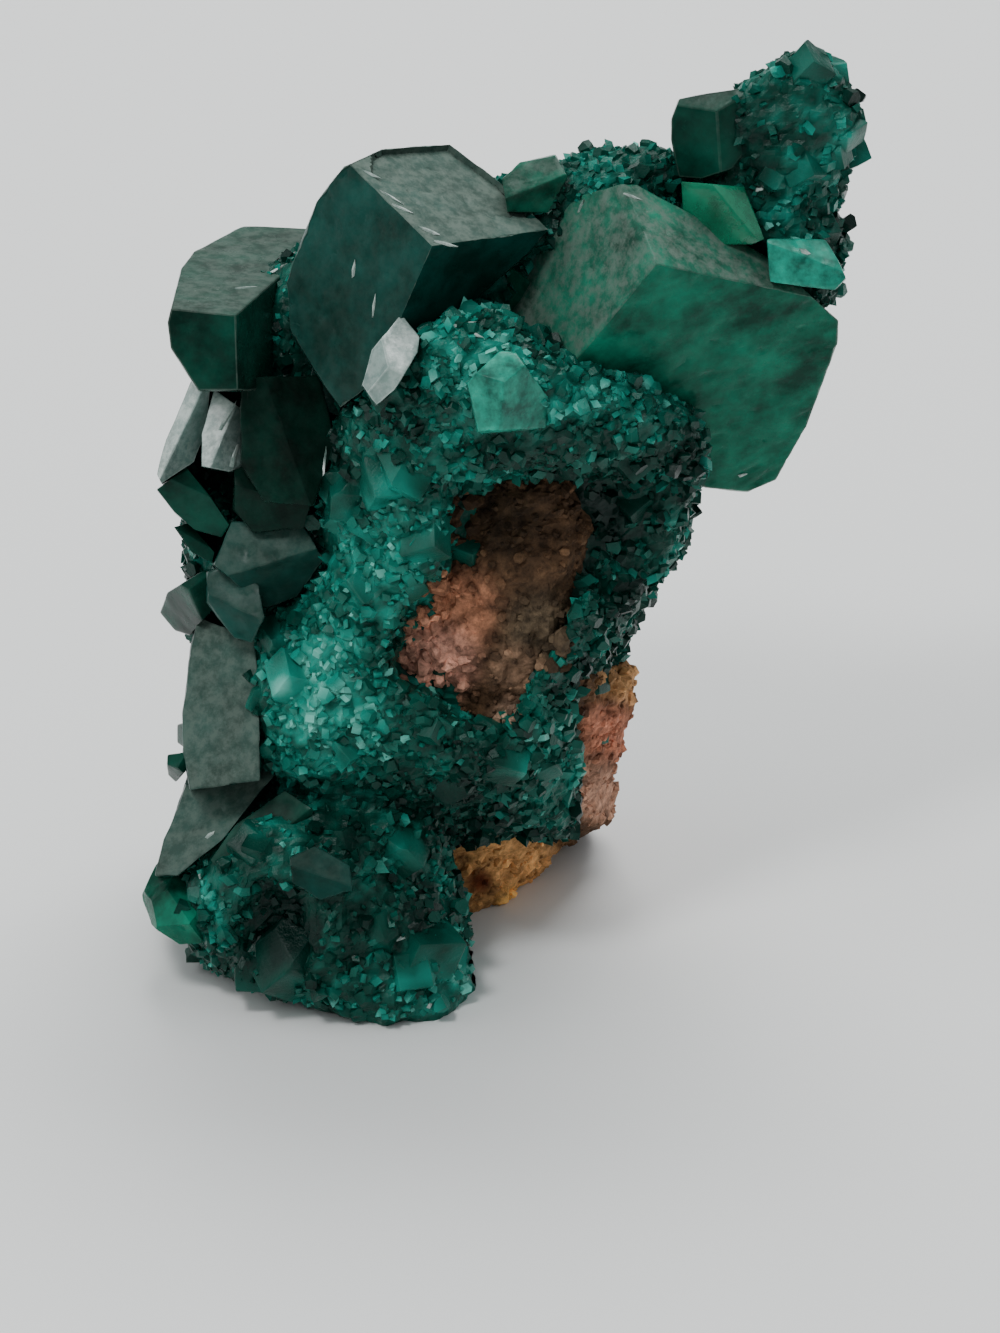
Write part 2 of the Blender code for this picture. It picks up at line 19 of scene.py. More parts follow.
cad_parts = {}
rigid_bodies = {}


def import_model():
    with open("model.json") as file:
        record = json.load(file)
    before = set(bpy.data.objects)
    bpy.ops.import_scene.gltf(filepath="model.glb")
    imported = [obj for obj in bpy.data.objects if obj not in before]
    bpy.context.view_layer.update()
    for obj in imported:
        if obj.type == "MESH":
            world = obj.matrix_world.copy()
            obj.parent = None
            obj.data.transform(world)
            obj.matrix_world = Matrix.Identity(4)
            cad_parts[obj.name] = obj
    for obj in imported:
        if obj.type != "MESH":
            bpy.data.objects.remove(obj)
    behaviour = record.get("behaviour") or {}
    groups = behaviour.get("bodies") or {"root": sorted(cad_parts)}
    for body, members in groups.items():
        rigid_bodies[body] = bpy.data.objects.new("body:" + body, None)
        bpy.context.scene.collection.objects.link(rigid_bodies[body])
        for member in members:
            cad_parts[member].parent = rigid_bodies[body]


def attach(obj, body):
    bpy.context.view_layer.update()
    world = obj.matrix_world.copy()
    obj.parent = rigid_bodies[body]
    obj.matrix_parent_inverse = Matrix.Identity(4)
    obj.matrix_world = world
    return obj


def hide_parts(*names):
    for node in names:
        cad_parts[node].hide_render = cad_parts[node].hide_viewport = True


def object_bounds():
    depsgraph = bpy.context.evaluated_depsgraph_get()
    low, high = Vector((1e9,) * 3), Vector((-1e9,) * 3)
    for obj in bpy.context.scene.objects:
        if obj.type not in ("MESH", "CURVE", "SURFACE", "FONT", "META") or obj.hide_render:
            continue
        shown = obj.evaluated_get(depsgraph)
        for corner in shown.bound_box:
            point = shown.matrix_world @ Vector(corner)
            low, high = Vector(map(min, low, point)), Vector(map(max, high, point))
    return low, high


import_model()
size_at_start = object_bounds()

MM = 0.001
VIEW_PITCH = math.radians(30)
RISE, FALL = math.cos(VIEW_PITCH), math.sin(VIEW_PITCH)
RIGHT = Vector((1, 0, 0))
UPWARD = Vector((0, FALL, RISE))
TOWARD = Vector((0, -RISE, FALL))
FOOT = Vector((-0.2342, -9.2679, 0))  # mm, where the spot (0, 0, 0) is in the frame

RHOMB_LEAN = 51  # degrees from a dioptase crystal's axis to the faces of its tip
BLOCK = 60.0  # mm, a blank bigger than any piece

Row = namedtuple("Row", "up left right front rear")
Crystal = namedtuple("Crystal", "name tip faces outline depth look")
Boulder = namedtuple("Boulder", "name centre half_sizes faces")
Hollow = namedtuple("Hollow", "name floor flare outline")
Patch = namedtuple("Patch", "middle half_sizes count radii")
Hexagonal = namedtuple("Hexagonal", "name tip bearing tilt turn radius length")
Look = namedtuple("Look", "material step bevel swell pits")
Zone = namedtuple("Zone", "across up radius strength")
Earth = namedtuple("Earth", "across up radius colour")
HighlightChip = namedtuple("HighlightChip", "across up length width bearing")


def spot(across, up, back):
    """The point seen at (across, up) in the display view that lies back behind the foot."""
    return Vector((across, back, (up - back * FALL) / RISE))


def facing(bearing, tilt):
    """The normal of a face that leans tilt degrees from the viewer, towards bearing."""
    around, lean = math.radians(bearing), math.radians(tilt)
    sideways = RIGHT * math.cos(around) + UPWARD * math.sin(around)
    return TOWARD * math.cos(lean) + sideways * math.sin(lean)


def rhomb_faces(bearing, tilt, turn):
    """The three faces of a tip whose axis leans so. turn is the way one edge of it runs."""
    axis = facing(bearing, tilt)
    swing = TOWARD.rotation_difference(axis)
    return [swing @ facing(turn + 60 + 120 * face, RHOMB_LEAN) for face in range(3)]


# How a crystal is finished: its material, the length of its surface's triangles, the
# width of its worn edges, how far its faces undulate and how deep their pits are, in mm.
GLASSY = Look("glassy", 0.42, 0.07, 0.04, 0.0)
ETCHED = Look("etched", 0.34, 0.06, 0.06, 0.12)
SLATE = Look("slate", 0.32, 0.06, 0.08, 0.12)
FROSTED = Look("aqua", 0.30, 0.08, 0.06, 0.08)
# The pale crystals carry a near-white painted highlight on their marked faces.
PALE = Look("pale", 0.34, 0.05, 0.06, 0.03)
# Near-black crystal, a painted shade for the recess.
SHADE_FILL_LOOK = Look("deep", 0.42, 0.07, 0.10, 0.06)
CLEAR = Look("clear", 0.40, 0.05, 0.01, 0.0)
REAR = Look("etched", 0.60, 0.07, 0.06, 0.06)

CRYSTALS = (
    Crystal("right", (6.2, 30.5, 3.0), rhomb_faces(45, 3, 350), (
        (2.4, 33.0), (4.8, 33.7), (7.6, 33.6), (10.8, 30.7), (13.5, 29.2), (13.4, 27.4),
        (12.2, 24.1), (11.0, 22.0), (9.9, 21.5), (8.2, 21.7), (4.0, 24.0), (-0.8, 28.6)),
        13, ETCHED),
    Crystal("middle", (-2.7, 31.2, 3.2), rhomb_faces(21, 9, 10), (
        (-7.3, 33.0), (-6.2, 34.4), (-4.7, 35.1), (-2.0, 35.3), (0.0, 33.8), (1.9, 31.9),
        (0.0, 29.6), (-3.2, 27.2), (-6.2, 24.6), (-8.3, 27.8), (-8.5, 29.8)), 13, SLATE),
    Crystal("left", (-10.5, 28.5, 5.0), rhomb_faces(43, 33, 43), (
        (-13.2, 28.2), (-12.7, 30.4), (-12.2, 31.1), (-10.6, 32.0), (-8.7, 32.8), (-6.8, 33.1),
        (-6.8, 26.0), (-10.0, 25.5), (-12.0, 25.5), (-13.1, 27.2)), 11, GLASSY),
    Crystal("tilted_small", (9.4, 32.5, 6.4), (facing(39, 38), facing(219, 24)), (
        (7.2, 33.8), (9.7, 33.6), (10.5, 31.5), (10.0, 31.3), (8.3, 31.3), (7.3, 32.0)),
        5, CLEAR),
    Crystal("aqua_block", (11.6, 31.0, 5.6), (facing(300, 14), facing(60, 50)), (
        (10.6, 31.5), (13.0, 31.5), (13.4, 30.7), (13.8, 30.0), (13.3, 29.5), (10.7, 29.8)),
        6, FROSTED),
    Crystal("knob_left", (8.6, 36.6, 8.4), (facing(215, 32), facing(105, 48), facing(330, 30)), (
        (7.1, 37.1), (8.2, 37.3), (9.6, 37.5), (10.1, 36.4), (9.9, 35.2), (9.2, 34.3),
        (8.0, 33.9), (7.1, 34.0), (6.8, 35.5), (6.8, 36.3)), 6, GLASSY),
    Crystal("ridge", (1.4, 33.6, 7.6), (facing(105, 45), facing(300, 40)), (
        (0.1, 33.9), (0.8, 34.6), (2.2, 34.9), (2.7, 34.0), (1.9, 32.6), (0.3, 32.6)),
        6, ETCHED),
    Crystal("blade_outer", (-12.6, 24.0, 7.0), (facing(160, 42), facing(330, 50)), (
        (-12.3, 25.9), (-11.5, 25.9), (-11.7, 24.0), (-12.2, 22.7), (-13.5, 21.8),
        (-13.7, 22.2), (-13.3, 23.6)), 7, PALE),
    Crystal("blade_inner", (-10.9, 24.0, 6.4), (facing(140, 34), facing(350, 45)), (
        (-11.4, 25.6), (-10.3, 24.8), (-10.1, 23.4), (-10.0, 22.6), (-10.8, 22.3),
        (-11.9, 22.5), (-11.9, 23.8)), 7, PALE),
    Crystal("side_block", (-12.2, 21.6, 6.4), (facing(245, 34), facing(65, 40)), (
        (-13.7, 21.6), (-12.4, 22.6), (-11.6, 21.4), (-10.7, 20.3), (-11.1, 19.7),
        (-12.2, 20.0), (-13.0, 20.7)), 7, GLASSY),
    Crystal("side_sliver", (-12.3, 19.7, 7.0), (facing(240, 20), facing(60, 40)), (
        (-13.0, 20.1), (-12.4, 20.3), (-11.4, 19.1), (-11.5, 18.7), (-12.3, 19.1)), 6, GLASSY),
    Crystal("side_group", (-12.4, 17.6, 6.6), rhomb_faces(200, 20, 40), (
        (-13.6, 16.7), (-13.3, 17.5), (-11.8, 18.4), (-11.2, 17.6), (-11.5, 16.8),
        (-12.4, 15.8), (-13.0, 16.0)), 7, GLASSY),
    Crystal("slate_upper", (-9.4, 18.6, 4.8), (facing(140, 16), facing(280, 52)), (
        (-11.4, 18.6), (-10.7, 20.3), (-8.0, 20.4), (-7.0, 18.8), (-8.1, 17.3), (-9.4, 16.8)),
        9, SLATE),
    Crystal("slate_lower", (-10.6, 16.9, 4.6), (facing(120, 16), facing(235, 55)), (
        (-11.7, 17.1), (-11.7, 18.3), (-10.7, 18.7), (-9.6, 17.8), (-9.4, 16.5),
        (-9.9, 15.5), (-10.6, 15.7)), 8, SLATE),
    Crystal("grey_face_upper", (-11.4, 13.4, 5.2), (facing(160, 28),), (
        (-12.7, 12.7), (-12.4, 14.9), (-12.1, 16.6), (-9.8, 15.6), (-9.6, 13.2), (-9.6, 10.0),
        (-12.4, 9.6), (-12.7, 11.1)), 10, SLATE),
    Crystal("grey_face_lower", (-11.6, 8.8, 4.4), (facing(135, 40),), (
        (-12.9, 9.6), (-12.4, 11.0), (-9.1, 10.4), (-8.8, 9.4), (-11.1, 7.6), (-12.2, 6.2),
        (-13.9, 6.2), (-13.4, 7.6)), 9, SLATE),
    Crystal("edge_dot_upper", (-12.2, 11.8, 5.0), rhomb_faces(220, 25, 10), (
        (-12.9, 12.2), (-12.2, 12.4), (-11.4, 11.6), (-12.0, 10.9), (-12.9, 11.5)), 4, GLASSY),
    Crystal("edge_dot_lower", (-12.9, 10.5, 5.4), rhomb_faces(220, 25, 60), (
        (-13.3, 11.0), (-12.6, 11.1), (-12.3, 10.7), (-13.0, 9.9), (-13.3, 10.2)), 4, GLASSY),
    Crystal("chip", (-4.4, 26.4, 0.8), (facing(60, 38), facing(250, 20), facing(160, 45)), (
        (-5.5, 25.7), (-5.1, 27.1), (-3.9, 28.5), (-3.2, 27.6), (-3.3, 27.0), (-4.2, 25.5),
        (-4.9, 24.9)), 4, PALE),
    Crystal("crown", (0.2, 25.8, 0.2), (facing(100, 36), facing(220, 30), facing(330, 48)), (
        (-1.3, 25.8), (0.0, 27.0), (0.6, 27.0), (2.0, 25.1), (1.8, 24.0), (-0.9, 23.8)),
        4, FROSTED),
    Crystal("foot_face", (-7.2, 6.2, 0.2), (facing(75, 24), facing(250, 40)), (
        (-8.4, 6.9), (-7.4, 7.4), (-6.0, 6.6), (-5.9, 5.6), (-7.2, 5.2), (-8.3, 5.9)),
        4, SLATE),
    Crystal("foot_left_face", (-9.4, 7.4, 2.2), (facing(150, 26), facing(300, 50)), (
        (-11.6, 6.8), (-10.6, 8.2), (-8.6, 9.6), (-7.4, 8.8), (-8.4, 6.4), (-10.6, 5.6)),
        7, GLASSY),
)
HIDDEN_CRYSTALS = (
    Hexagonal("back_upper", (2.0, 28.6, 15.5), 20, 152, 15, 4.4, 9),
    Hexagonal("back_right", (7.0, 24.4, 14.5), 330, 132, 65, 3.2, 8),
    Hexagonal("back_left", (-7.6, 24.0, 16.0), 160, 146, 40, 3.6, 8),
    Hexagonal("back_low", (-8.6, 14.4, 17.4), 200, 140, 25, 2.8, 7),
    Hexagonal("back_small", (-2.6, 21.6, 18.4), 250, 158, 50, 2.2, 6),
)

# A near-black block that fills the recess between the left crystal and the middle one, painted as
# the shade there.
SHADED_RECESS_CRYSTALS = (
    Crystal("recess_upper", (-8.6, 23.9, 4.9), (facing(200, 25), facing(20, 35)), (
        (-10.3, 26.0), (-7.2, 26.2), (-6.5, 23.4), (-7.4, 20.9), (-9.4, 21.1), (-10.3, 22.6)),
        5, SHADE_FILL_LOOK),
    Crystal("recess_lower", (-9.2, 21.4, 5.2), (facing(250, 30), facing(80, 28)), (
        (-10.6, 22.4), (-9.0, 23.0), (-7.4, 21.6), (-7.8, 20.0), (-9.8, 19.9), (-10.6, 20.8)),
        5, SHADE_FILL_LOOK),
)

# How much painted sheen the faces of a crystal's tip have, from 0 to 1, in their order: a
# grey sheen in place of reflected light, and a near-white painted highlight on the pale
# crystals. Its sides and the crystals that aren't named here have SIDE_SHEEN. Worn edges
# have EDGE_HIGHLIGHT_SHARE of the most sheened face, as a painted highlight along them.
PAINTED_SHEEN_FACES = {
    "right": (0.78, 0.66, 0.0),
    "middle": (0.85, 0.10, 0.0),
    "left": (0.55, 0.05, 0.05),
    "knob_left": (0.02, 0.26, 0.05),
    "ridge": (0.28, 0.10),
    "blade_outer": (0.90, 0.40),
    "blade_inner": (1.0, 0.50),
    "slate_upper": (0.34, 0.10),
    "slate_lower": (0.30, 0.08),
    "grey_face_upper": (0.60,),
    "grey_face_lower": (0.60,),
    "chip": (0.9, 0.5, 0.3),
    "foot_face": (0.20, 0.06),
    "foot_left_face": (0.14, 0.06),
}
# A step in the top face of the middle crystal: its line as seen, and how deep it is.
LEDGE_LINE = ((-5.0, 34.1), (-3.6, 33.6), (-2.4, 33.4), (-1.8, 33.0), (-0.4, 32.5), (1.4, 32.4))
LEDGE_DROP = 0.28
SIDE_SHEEN = 0.05
EDGE_HIGHLIGHT_SHARE = 0.8
SAME_FACE = 0.995  # how nearly a face's normal matches that of its plane
SHARP = math.radians(22)  # the least angle at which an edge looks sharp

BOULDERS = (
    Boulder("foot_left", (-12.5, 5.3, 4.6), (1.7, 2.6, 1.3), 26),
)

FRONT_MASS = (
    Row(28.6, -1.6, 0.4, 3.6, 8.0),
    Row(27.6, -4.0, 1.6, 2.2, 10.5),
    Row(26.2, -5.6, 5.2, 1.6, 12.5),
    Row(24.8, -6.4, 7.7, 1.5, 13.0),
    Row(22.6, -7.1, 8.3, 1.7, 13.8),
    Row(20.4, -7.4, 7.6, 2.0, 14.5),
    Row(18.6, -7.5, 6.9, 2.2, 15.0),
    Row(16.8, -9.0, 5.5, 2.4, 15.5),
    Row(15.0, -10.5, 4.8, 2.3, 15.5),
    Row(13.0, -11.1, 4.0, 2.2, 15.5),
    Row(11.0, -11.2, 3.5, 2.3, 15.5),
    Row(9.7, -9.4, 3.2, 3.2, 15.4),
    Row(8.7, -9.2, 3.1, 4.6, 15.0),
    Row(7.8, -8.0, 2.9, 6.4, 14.5),
)
BACK_MASS = (
    Row(34.2, 0.8, 6.4, 10.5, 13.5),
    Row(32.6, -5.0, 7.8, 8.8, 14.8),
    Row(30.2, -9.4, 10.4, 7.8, 15.8),
    Row(27.6, -11.8, 11.2, 7.2, 16.6),
    Row(25.2, -12.1, 10.2, 6.6, 17.0),
    Row(22.6, -12.4, 8.4, 6.4, 17.2),
    Row(20.0, -12.3, 7.2, 6.4, 17.5),
    Row(17.4, -12.3, 5.4, 6.0, 17.6),
    Row(14.8, -12.2, 4.5, 5.8, 17.6),
    Row(12.2, -12.2, 3.6, 5.8, 17.4),
    Row(9.8, -12.3, 3.0, 5.8, 17.2),
    Row(7.6, -12.0, 0.0, 6.0, 16.0),
)
KNOB_MASS = (
    Row(38.8, 11.4, 12.7, 10.0, 11.6),
    Row(38.0, 10.2, 13.5, 9.2, 12.4),
    Row(37.0, 8.8, 14.2, 8.6, 13.0),
    Row(36.0, 8.0, 14.5, 8.4, 13.2),
    Row(35.0, 7.6, 14.3, 8.2, 13.2),
    Row(33.8, 7.7, 13.6, 8.0, 13.0),
    Row(32.4, 8.0, 13.1, 7.8, 12.8),
    Row(30.9, 8.6, 13.5, 7.4, 12.6),
    Row(29.2, 9.0, 13.2, 7.2, 12.4),
)
RIDGE_MASS = (
    Row(35.1, 4.4, 6.4, 9.6, 11.4),
    Row(34.5, 2.0, 7.1, 8.6, 12.4),
    Row(33.6, 0.4, 7.4, 7.8, 13.0),
    Row(32.4, -0.6, 7.6, 7.4, 13.4),
    Row(30.8, -1.0, 7.6, 7.4, 13.4),
)
FOOT_MASS = (
    Row(9.6, -8.4, -4.0, 4.4, 9.0),
    Row(8.4, -10.8, -2.2, 2.6, 11.0),
    Row(7.4, -11.8, -1.9, 1.5, 12.0),
    Row(6.2, -12.6, -2.0, 0.7, 12.0),
    Row(5.0, -12.7, -1.7, 0.4, 12.0),
    Row(3.6, -12.3, -1.7, 0.2, 11.0),
    Row(2.4, -11.5, -1.2, 0.2, 9.0),
    Row(1.2, -8.7, -1.1, 0.3, 7.0),
    Row(0.4, -5.8, -1.5, 0.4, 5.0),
    Row(-0.1, -3.8, -2.1, 0.8, 3.0),
)
MATRIX = (
    Row(23.0, -1.0, 2.4, 6.2, 11.0),
    Row(21.4, -2.4, 3.6, 4.6, 13.0),
    Row(19.4, -3.0, 4.0, 4.2, 15.0),
    Row(17.4, -3.8, 3.8, 3.8, 16.2),
    Row(15.2, -4.8, 4.2, 3.7, 17.0),
    Row(14.2, -4.6, 5.1, 4.0, 17.4),
    Row(12.6, -4.0, 4.9, 4.4, 17.7),
    Row(11.2, -4.0, 4.6, 5.8, 17.9),
    Row(9.6, -5.0, 4.3, 7.2, 18.0),
    Row(8.3, -7.0, 4.0, 8.0, 18.2),
    Row(7.6, -8.5, 2.6, 8.2, 18.2),
    Row(6.9, -9.0, 1.8, 8.3, 17.0),
    Row(5.8, -9.0, 1.1, 8.6, 14.6),
    Row(4.9, -8.5, 0.3, 9.0, 12.5),
    Row(4.5, -8.0, -0.4, 9.2, 11.0),
)
HOLLOWS = (
    Hollow("matrix_upper", 5.0, 5, (
        (-1.9, 21.9), (1.4, 22.3), (4.6, 22.0), (4.8, 20.4), (3.6, 17.6), (2.2, 15.6),
        (-2.0, 16.0), (-2.8, 17.6), (-2.2, 19.6))),
    Hollow("matrix_lower", 4.8, 12, (
        (-2.9, 17.6), (3.0, 17.4), (2.2, 15.6), (2.2, 13.8), (1.2, 11.7), (-0.1, 11.8),
        (-2.4, 13.3), (-4.1, 14.5), (-4.0, 15.4))),
    Hollow("dark", 5.8, 10, (
        (1.6, 22.0), (6.4, 22.1), (7.6, 21.9), (7.3, 18.8), (5.6, 17.0), (4.0, 17.2),
        (3.0, 18.8))),
    Hollow("foot", 1.6, 30, (
        (-10.2, 4.6), (-9.4, 5.6), (-8.0, 5.2), (-7.8, 3.6), (-8.8, 2.8), (-10.0, 3.4))),
)

STUD_PATCHES = (
    Patch((-3.0, 20.0, 3.0), (7.0, 6.0, 2.0), 30, (0.7, 1.3)),
    Patch((-3.0, 11.0, 5.0), (6.0, 6.0, 3.0), 14, (0.7, 1.2)),
    Patch((-7.0, 4.5, 4.0), (4.0, 2.0, 4.0), 12, (0.7, 1.2)),
    Patch((11.6, 35.6, 10.0), (1.5, 1.5, 2.5), 9, (0.6, 1.0)),
    Patch((4.4, 34.4, 10.0), (2.5, 1.0, 1.0), 5, (0.5, 0.8)),
    Patch((-3.0, 22.0, 14.0), (7.0, 6.0, 9.0), 12, (0.9, 1.7)),
)
STUD_SEED = 11
STUD_LOWEST = 1.2  # mm above the floor
STUD_LENGTH = 2.4  # radii, shorter than in the CAD only at its buried end
STUD_STEP = 0.6  # mm, the length of its surface's triangles
STUD_BEVEL = 0.05  # mm

ROWS_BETWEEN = 1
SIDES = 22
SQUARENESS = 2.5
LUMPS = ((4.5, 0.55), (1.7, 0.35))  # mm across and mm high

# The even squares that the body and the rock are rebuilt from, and the grains and soft
# ripples that roughen them, each mm across and mm high.
BODY_SQUARE, ROCK_SQUARE = 0.23, 0.2
BODY_GRAINS, BODY_RIPPLES = ((2.2, 0.34), (1.0, 0.18)), ((0.7, 0.16), (0.36, 0.10))
ROCK_GRAINS, ROCK_RIPPLES = (
    ((2.2, 0.30), (0.9, 0.22), (0.4, 0.10)), ((0.8, 0.16), (0.4, 0.10)))

# Where the rock is paler, redder or darker than its plain brown, as seen from the front. The
# near-black patch at the top of the hollow, under its overhanging rim, is painted shadow.
PLAIN_EARTH = (0.075, 0.040, 0.020)
EARTHS = (
    # Painted shadow under the hollow's overhanging rim.
    Earth(0.2, 20.4, 1.7, (0.030, 0.017, 0.008)),
    Earth(-1.9, 16.8, 1.7, (0.420, 0.180, 0.100)),
    Earth(-2.6, 14.8, 1.6, (0.500, 0.250, 0.180)),
    Earth(1.6, 16.0, 1.6, (0.085, 0.060, 0.036)),
    Earth(0.6, 14.4, 1.0, (0.220, 0.130, 0.080)),
    Earth(0.6, 12.4, 0.9, (0.300, 0.190, 0.130)),
    Earth(5.0, 14.0, 1.1, (0.400, 0.210, 0.090)),
    Earth(4.4, 11.8, 1.3, (0.420, 0.160, 0.095)),
    Earth(3.8, 9.5, 1.2, (0.500, 0.270, 0.180)),
    Earth(0.2, 6.4, 2.2, (0.640, 0.330, 0.125)),
    Earth(-0.8, 5.9, 0.6, (0.090, 0.020, 0.006)),
    Earth(0.6, 4.9, 0.8, (0.780, 0.420, 0.120)),
)
# Where rock crumbs lie over the edges of the hollow instead of dioptase grains.
CRUMB_ZONES = (
    Zone(-2.2, 16.6, 1.5, 1.1),
    Zone(-3.0, 14.8, 1.3, 1.0),
    Zone(-1.2, 20.6, 1.3, 0.9),
    Zone(0.4, 12.8, 1.0, 0.8),
    Zone(2.0, 15.2, 1.2, 0.9),
    Zone(1.8, 21.6, 1.2, 0.6),
    Zone(0.4, 18.0, 2.4, 1.2),
)
CRUMB_COUNT = 3000
CRUMB_RADIUS = (0.07, 0.28)
CRUMB_FACES = 12
CRUMB_EDGE = 0.9  # how sharply the crumbs end, at the edge of a zone
CRUMB_GROWTH = 0.14  # mm that they are bigger over the dioptase

# Where grains are few and the smoother dioptase under them shows, as a share left out.
SPARSE_ZONES = (
    Zone(11.6, 35.8, 4.0, 0.90),
    Zone(-8.4, 23.0, 2.4, 1.2),
    Zone(-8.4, 6.6, 3.2, 0.75),
    Zone(-4.4, 4.6, 3.0, 0.40),
    Zone(5.2, 20.0, 2.2, 0.50),
    Zone(-10.0, 30.0, 3.0, 0.6),
)

# The little pale chips that are painted highlights where light glints, and how far they stand out,
# in mm.
HIGHLIGHT_CHIP_RISE = 0.05
HIGHLIGHT_CHIP_FACES = 9
HIGHLIGHT_CHIPS = (
    HighlightChip(-5.8, 30.3, 0.80, 0.20, 70), HighlightChip(-5.0, 28.8, 1.10, 0.16, 62),
    HighlightChip(-5.2, 34.1, 1.20, 0.16, 315), HighlightChip(-4.4, 33.2, 1.10, 0.14, 312),
    HighlightChip(-3.9, 32.7, 1.00, 0.20, 325), HighlightChip(-2.8, 31.8, 0.90, 0.26, 350),
    HighlightChip(-2.2, 31.3, 1.10, 0.24, 5), HighlightChip(-10.2, 29.6, 1.20, 0.16, 55),
    HighlightChip(-9.0, 30.3, 1.00, 0.15, 30), HighlightChip(5.2, 33.2, 0.90, 0.18, 10),
    HighlightChip(3.2, 32.8, 0.80, 0.18, 35), HighlightChip(9.7, 22.2, 0.50, 0.16, 350),
    HighlightChip(8.5, 21.6, 0.76, 0.24, 8), HighlightChip(-10.6, 22.9, 1.10, 0.34, 65),
    HighlightChip(-10.9, 24.4, 1.30, 0.28, 62), HighlightChip(-12.6, 18.4, 0.90, 0.36, 40),
    HighlightChip(6.2, 24.0, 1.60, 0.30, 350), HighlightChip(4.7, 17.5, 0.40, 0.24, 20),
    HighlightChip(6.3, 19.7, 0.50, 0.26, 60), HighlightChip(-11.6, 7.8, 0.50, 0.24, 30),
    HighlightChip(-12.0, 6.2, 0.40, 0.22, 80), HighlightChip(-4.6, 4.2, 0.70, 0.22, 340),
    HighlightChip(-3.9, 3.7, 0.80, 0.24, 10), HighlightChip(-2.8, 1.0, 0.40, 0.26, 40),
    HighlightChip(10.3, 33.5, 0.40, 0.26, 20), HighlightChip(12.1, 31.0, 0.50, 0.34, 350),
    HighlightChip(-7.0, 22.6, 1.40, 0.16, 75), HighlightChip(-7.4, 20.2, 1.20, 0.16, 80),
    HighlightChip(-6.2, 24.4, 1.20, 0.16, 60), HighlightChip(-1.6, 28.1, 1.30, 0.34, 350),
    HighlightChip(-2.3, 27.8, 0.70, 0.28, 20), HighlightChip(-1.0, 27.7, 0.60, 0.24, 330),
)

# The crust of tiny crystals: how many, their radii in mm, from what radius they are
# prisms and not plain rhombohedra, how much longer than wide they are, and how many
# shapes there are of each kind.
CRUST_COUNT = 21000
CRUST_RADIUS = (0.07, 0.34)
PRISM_RADIUS = 0.19
CRUST_STRETCH = (0.9, 2.3)
CRUST_SHAPES = 12
CRUST_LOWEST = 0.5  # mm above the floor
BURIED = 0.15  # mm inside a big crystal from where a grain is left out
ROCK_GAP = 0.1  # mm outside the rock from where a grain may stand

# How much brighter a grain is painted at its tip than a radius below it, a painted light on
# its tip and shade at its base, and how many of the grains get a painted glint, by how much.
PAINTED_TIP_LIGHT = 0.10
PAINTED_GLINT_SHARE = 0.035
PAINTED_GLINT = 0.34

# How far towards the viewer a spot is, in mm, from where zones and earths count in full.
ZONES_BACK, ZONES_BACK_SHARE = -9, 0.3
EARTHS_BACK = -14

# Where the dioptase looks brighter or darker than usual, as seen from the front. Most is its own
# tone; the strong dark zones in the recess by the left crystal and in the dark hollow under the
# ledge are painted shade. It is also much darker in the foot's hollow.
TONE_AND_SHADE_ZONES = (
    Zone(0.2, 25.9, 1.8, 0.50),
    Zone(-1.6, 27.4, 1.6, 0.30),
    Zone(-5.0, 21.0, 3.4, 0.22),
    Zone(-8.4, 14.6, 2.6, 0.36),
    Zone(-7.0, 11.6, 3.0, 0.34),
    Zone(4.6, 25.2, 2.0, 0.20),
    Zone(-2.2, 2.4, 1.8, 0.30),
    Zone(2.2, 11.0, 1.4, 0.20),
    Zone(12.4, 35.6, 2.6, 0.10),
    # Painted shade: the recess by the left crystal, and the dark hollow under the ledge.
    Zone(-8.2, 23.6, 2.6, -0.60),
    Zone(3.8, 20.4, 1.9, -0.45),
    Zone(7.2, 19.4, 1.6, 0.08),
    Zone(-9.0, 4.2, 1.4, -0.60),
    Zone(0.4, 9.0, 2.6, -0.08),
    Zone(-7.6, 7.0, 3.2, -0.10),
    Zone(-4.6, 4.6, 2.6, -0.03),
    Zone(-5.2, 19.4, 3.0, 0.10),
    Zone(8.8, 36.0, 2.4, -0.12),
    Zone(-4.6, 9.6, 2.2, -0.10),
    Zone(5.4, 17.0, 2.0, -0.12),
)


# Solids cut from a blank, and lumpy masses, as in the CAD

def cut_blank(centre, planes):
    """The convex solid inside all the planes, each given as a point and its outward normal."""
    solid = bmesh.new()
    bmesh.ops.create_cube(solid, size=BLOCK)
    bmesh.ops.translate(solid, verts=solid.verts, vec=centre)
    for point, normal in planes:
        trim(solid, point, normal)
    return solid


def trim(solid, point, normal):
    """Cuts off what lies outside a plane, and closes the cut with one flat face."""
    everything = solid.verts[:] + solid.edges[:] + solid.faces[:]
    cut = bmesh.ops.bisect_plane(
        solid, geom=everything, dist=1e-5, plane_co=point, plane_no=normal, clear_outer=True
    )
    rim = [part for part in cut["geom_cut"] if isinstance(part, bmesh.types.BMEdge)]
    if rim:
        bmesh.ops.holes_fill(solid, edges=rim)


def outline_planes(outline, back, flare):
    """Planes through the edges of an outline, at back, that open towards the viewer."""
    opening = math.radians(flare)
    planes = []
    for (left, low), (right, high) in zip(outline, outline[1:] + outline[:1]):
        out = (UPWARD * (right - left) - RIGHT * (high - low)).normalized()
        planes.append((spot(left, low, back), out * math.cos(opening) - TOWARD * math.sin(opening)))
    return planes


def crystal_planes(crystal):
    """The planes that bound a crystal: its outline carried back from the faces of its tip."""
    tip = spot(*crystal.tip)
    planes = outline_planes(crystal.outline, crystal.tip[2], 0)
    planes += [(tip, normal) for normal in crystal.faces]
    planes.append((tip - TOWARD * crystal.depth, -TOWARD))
    return planes


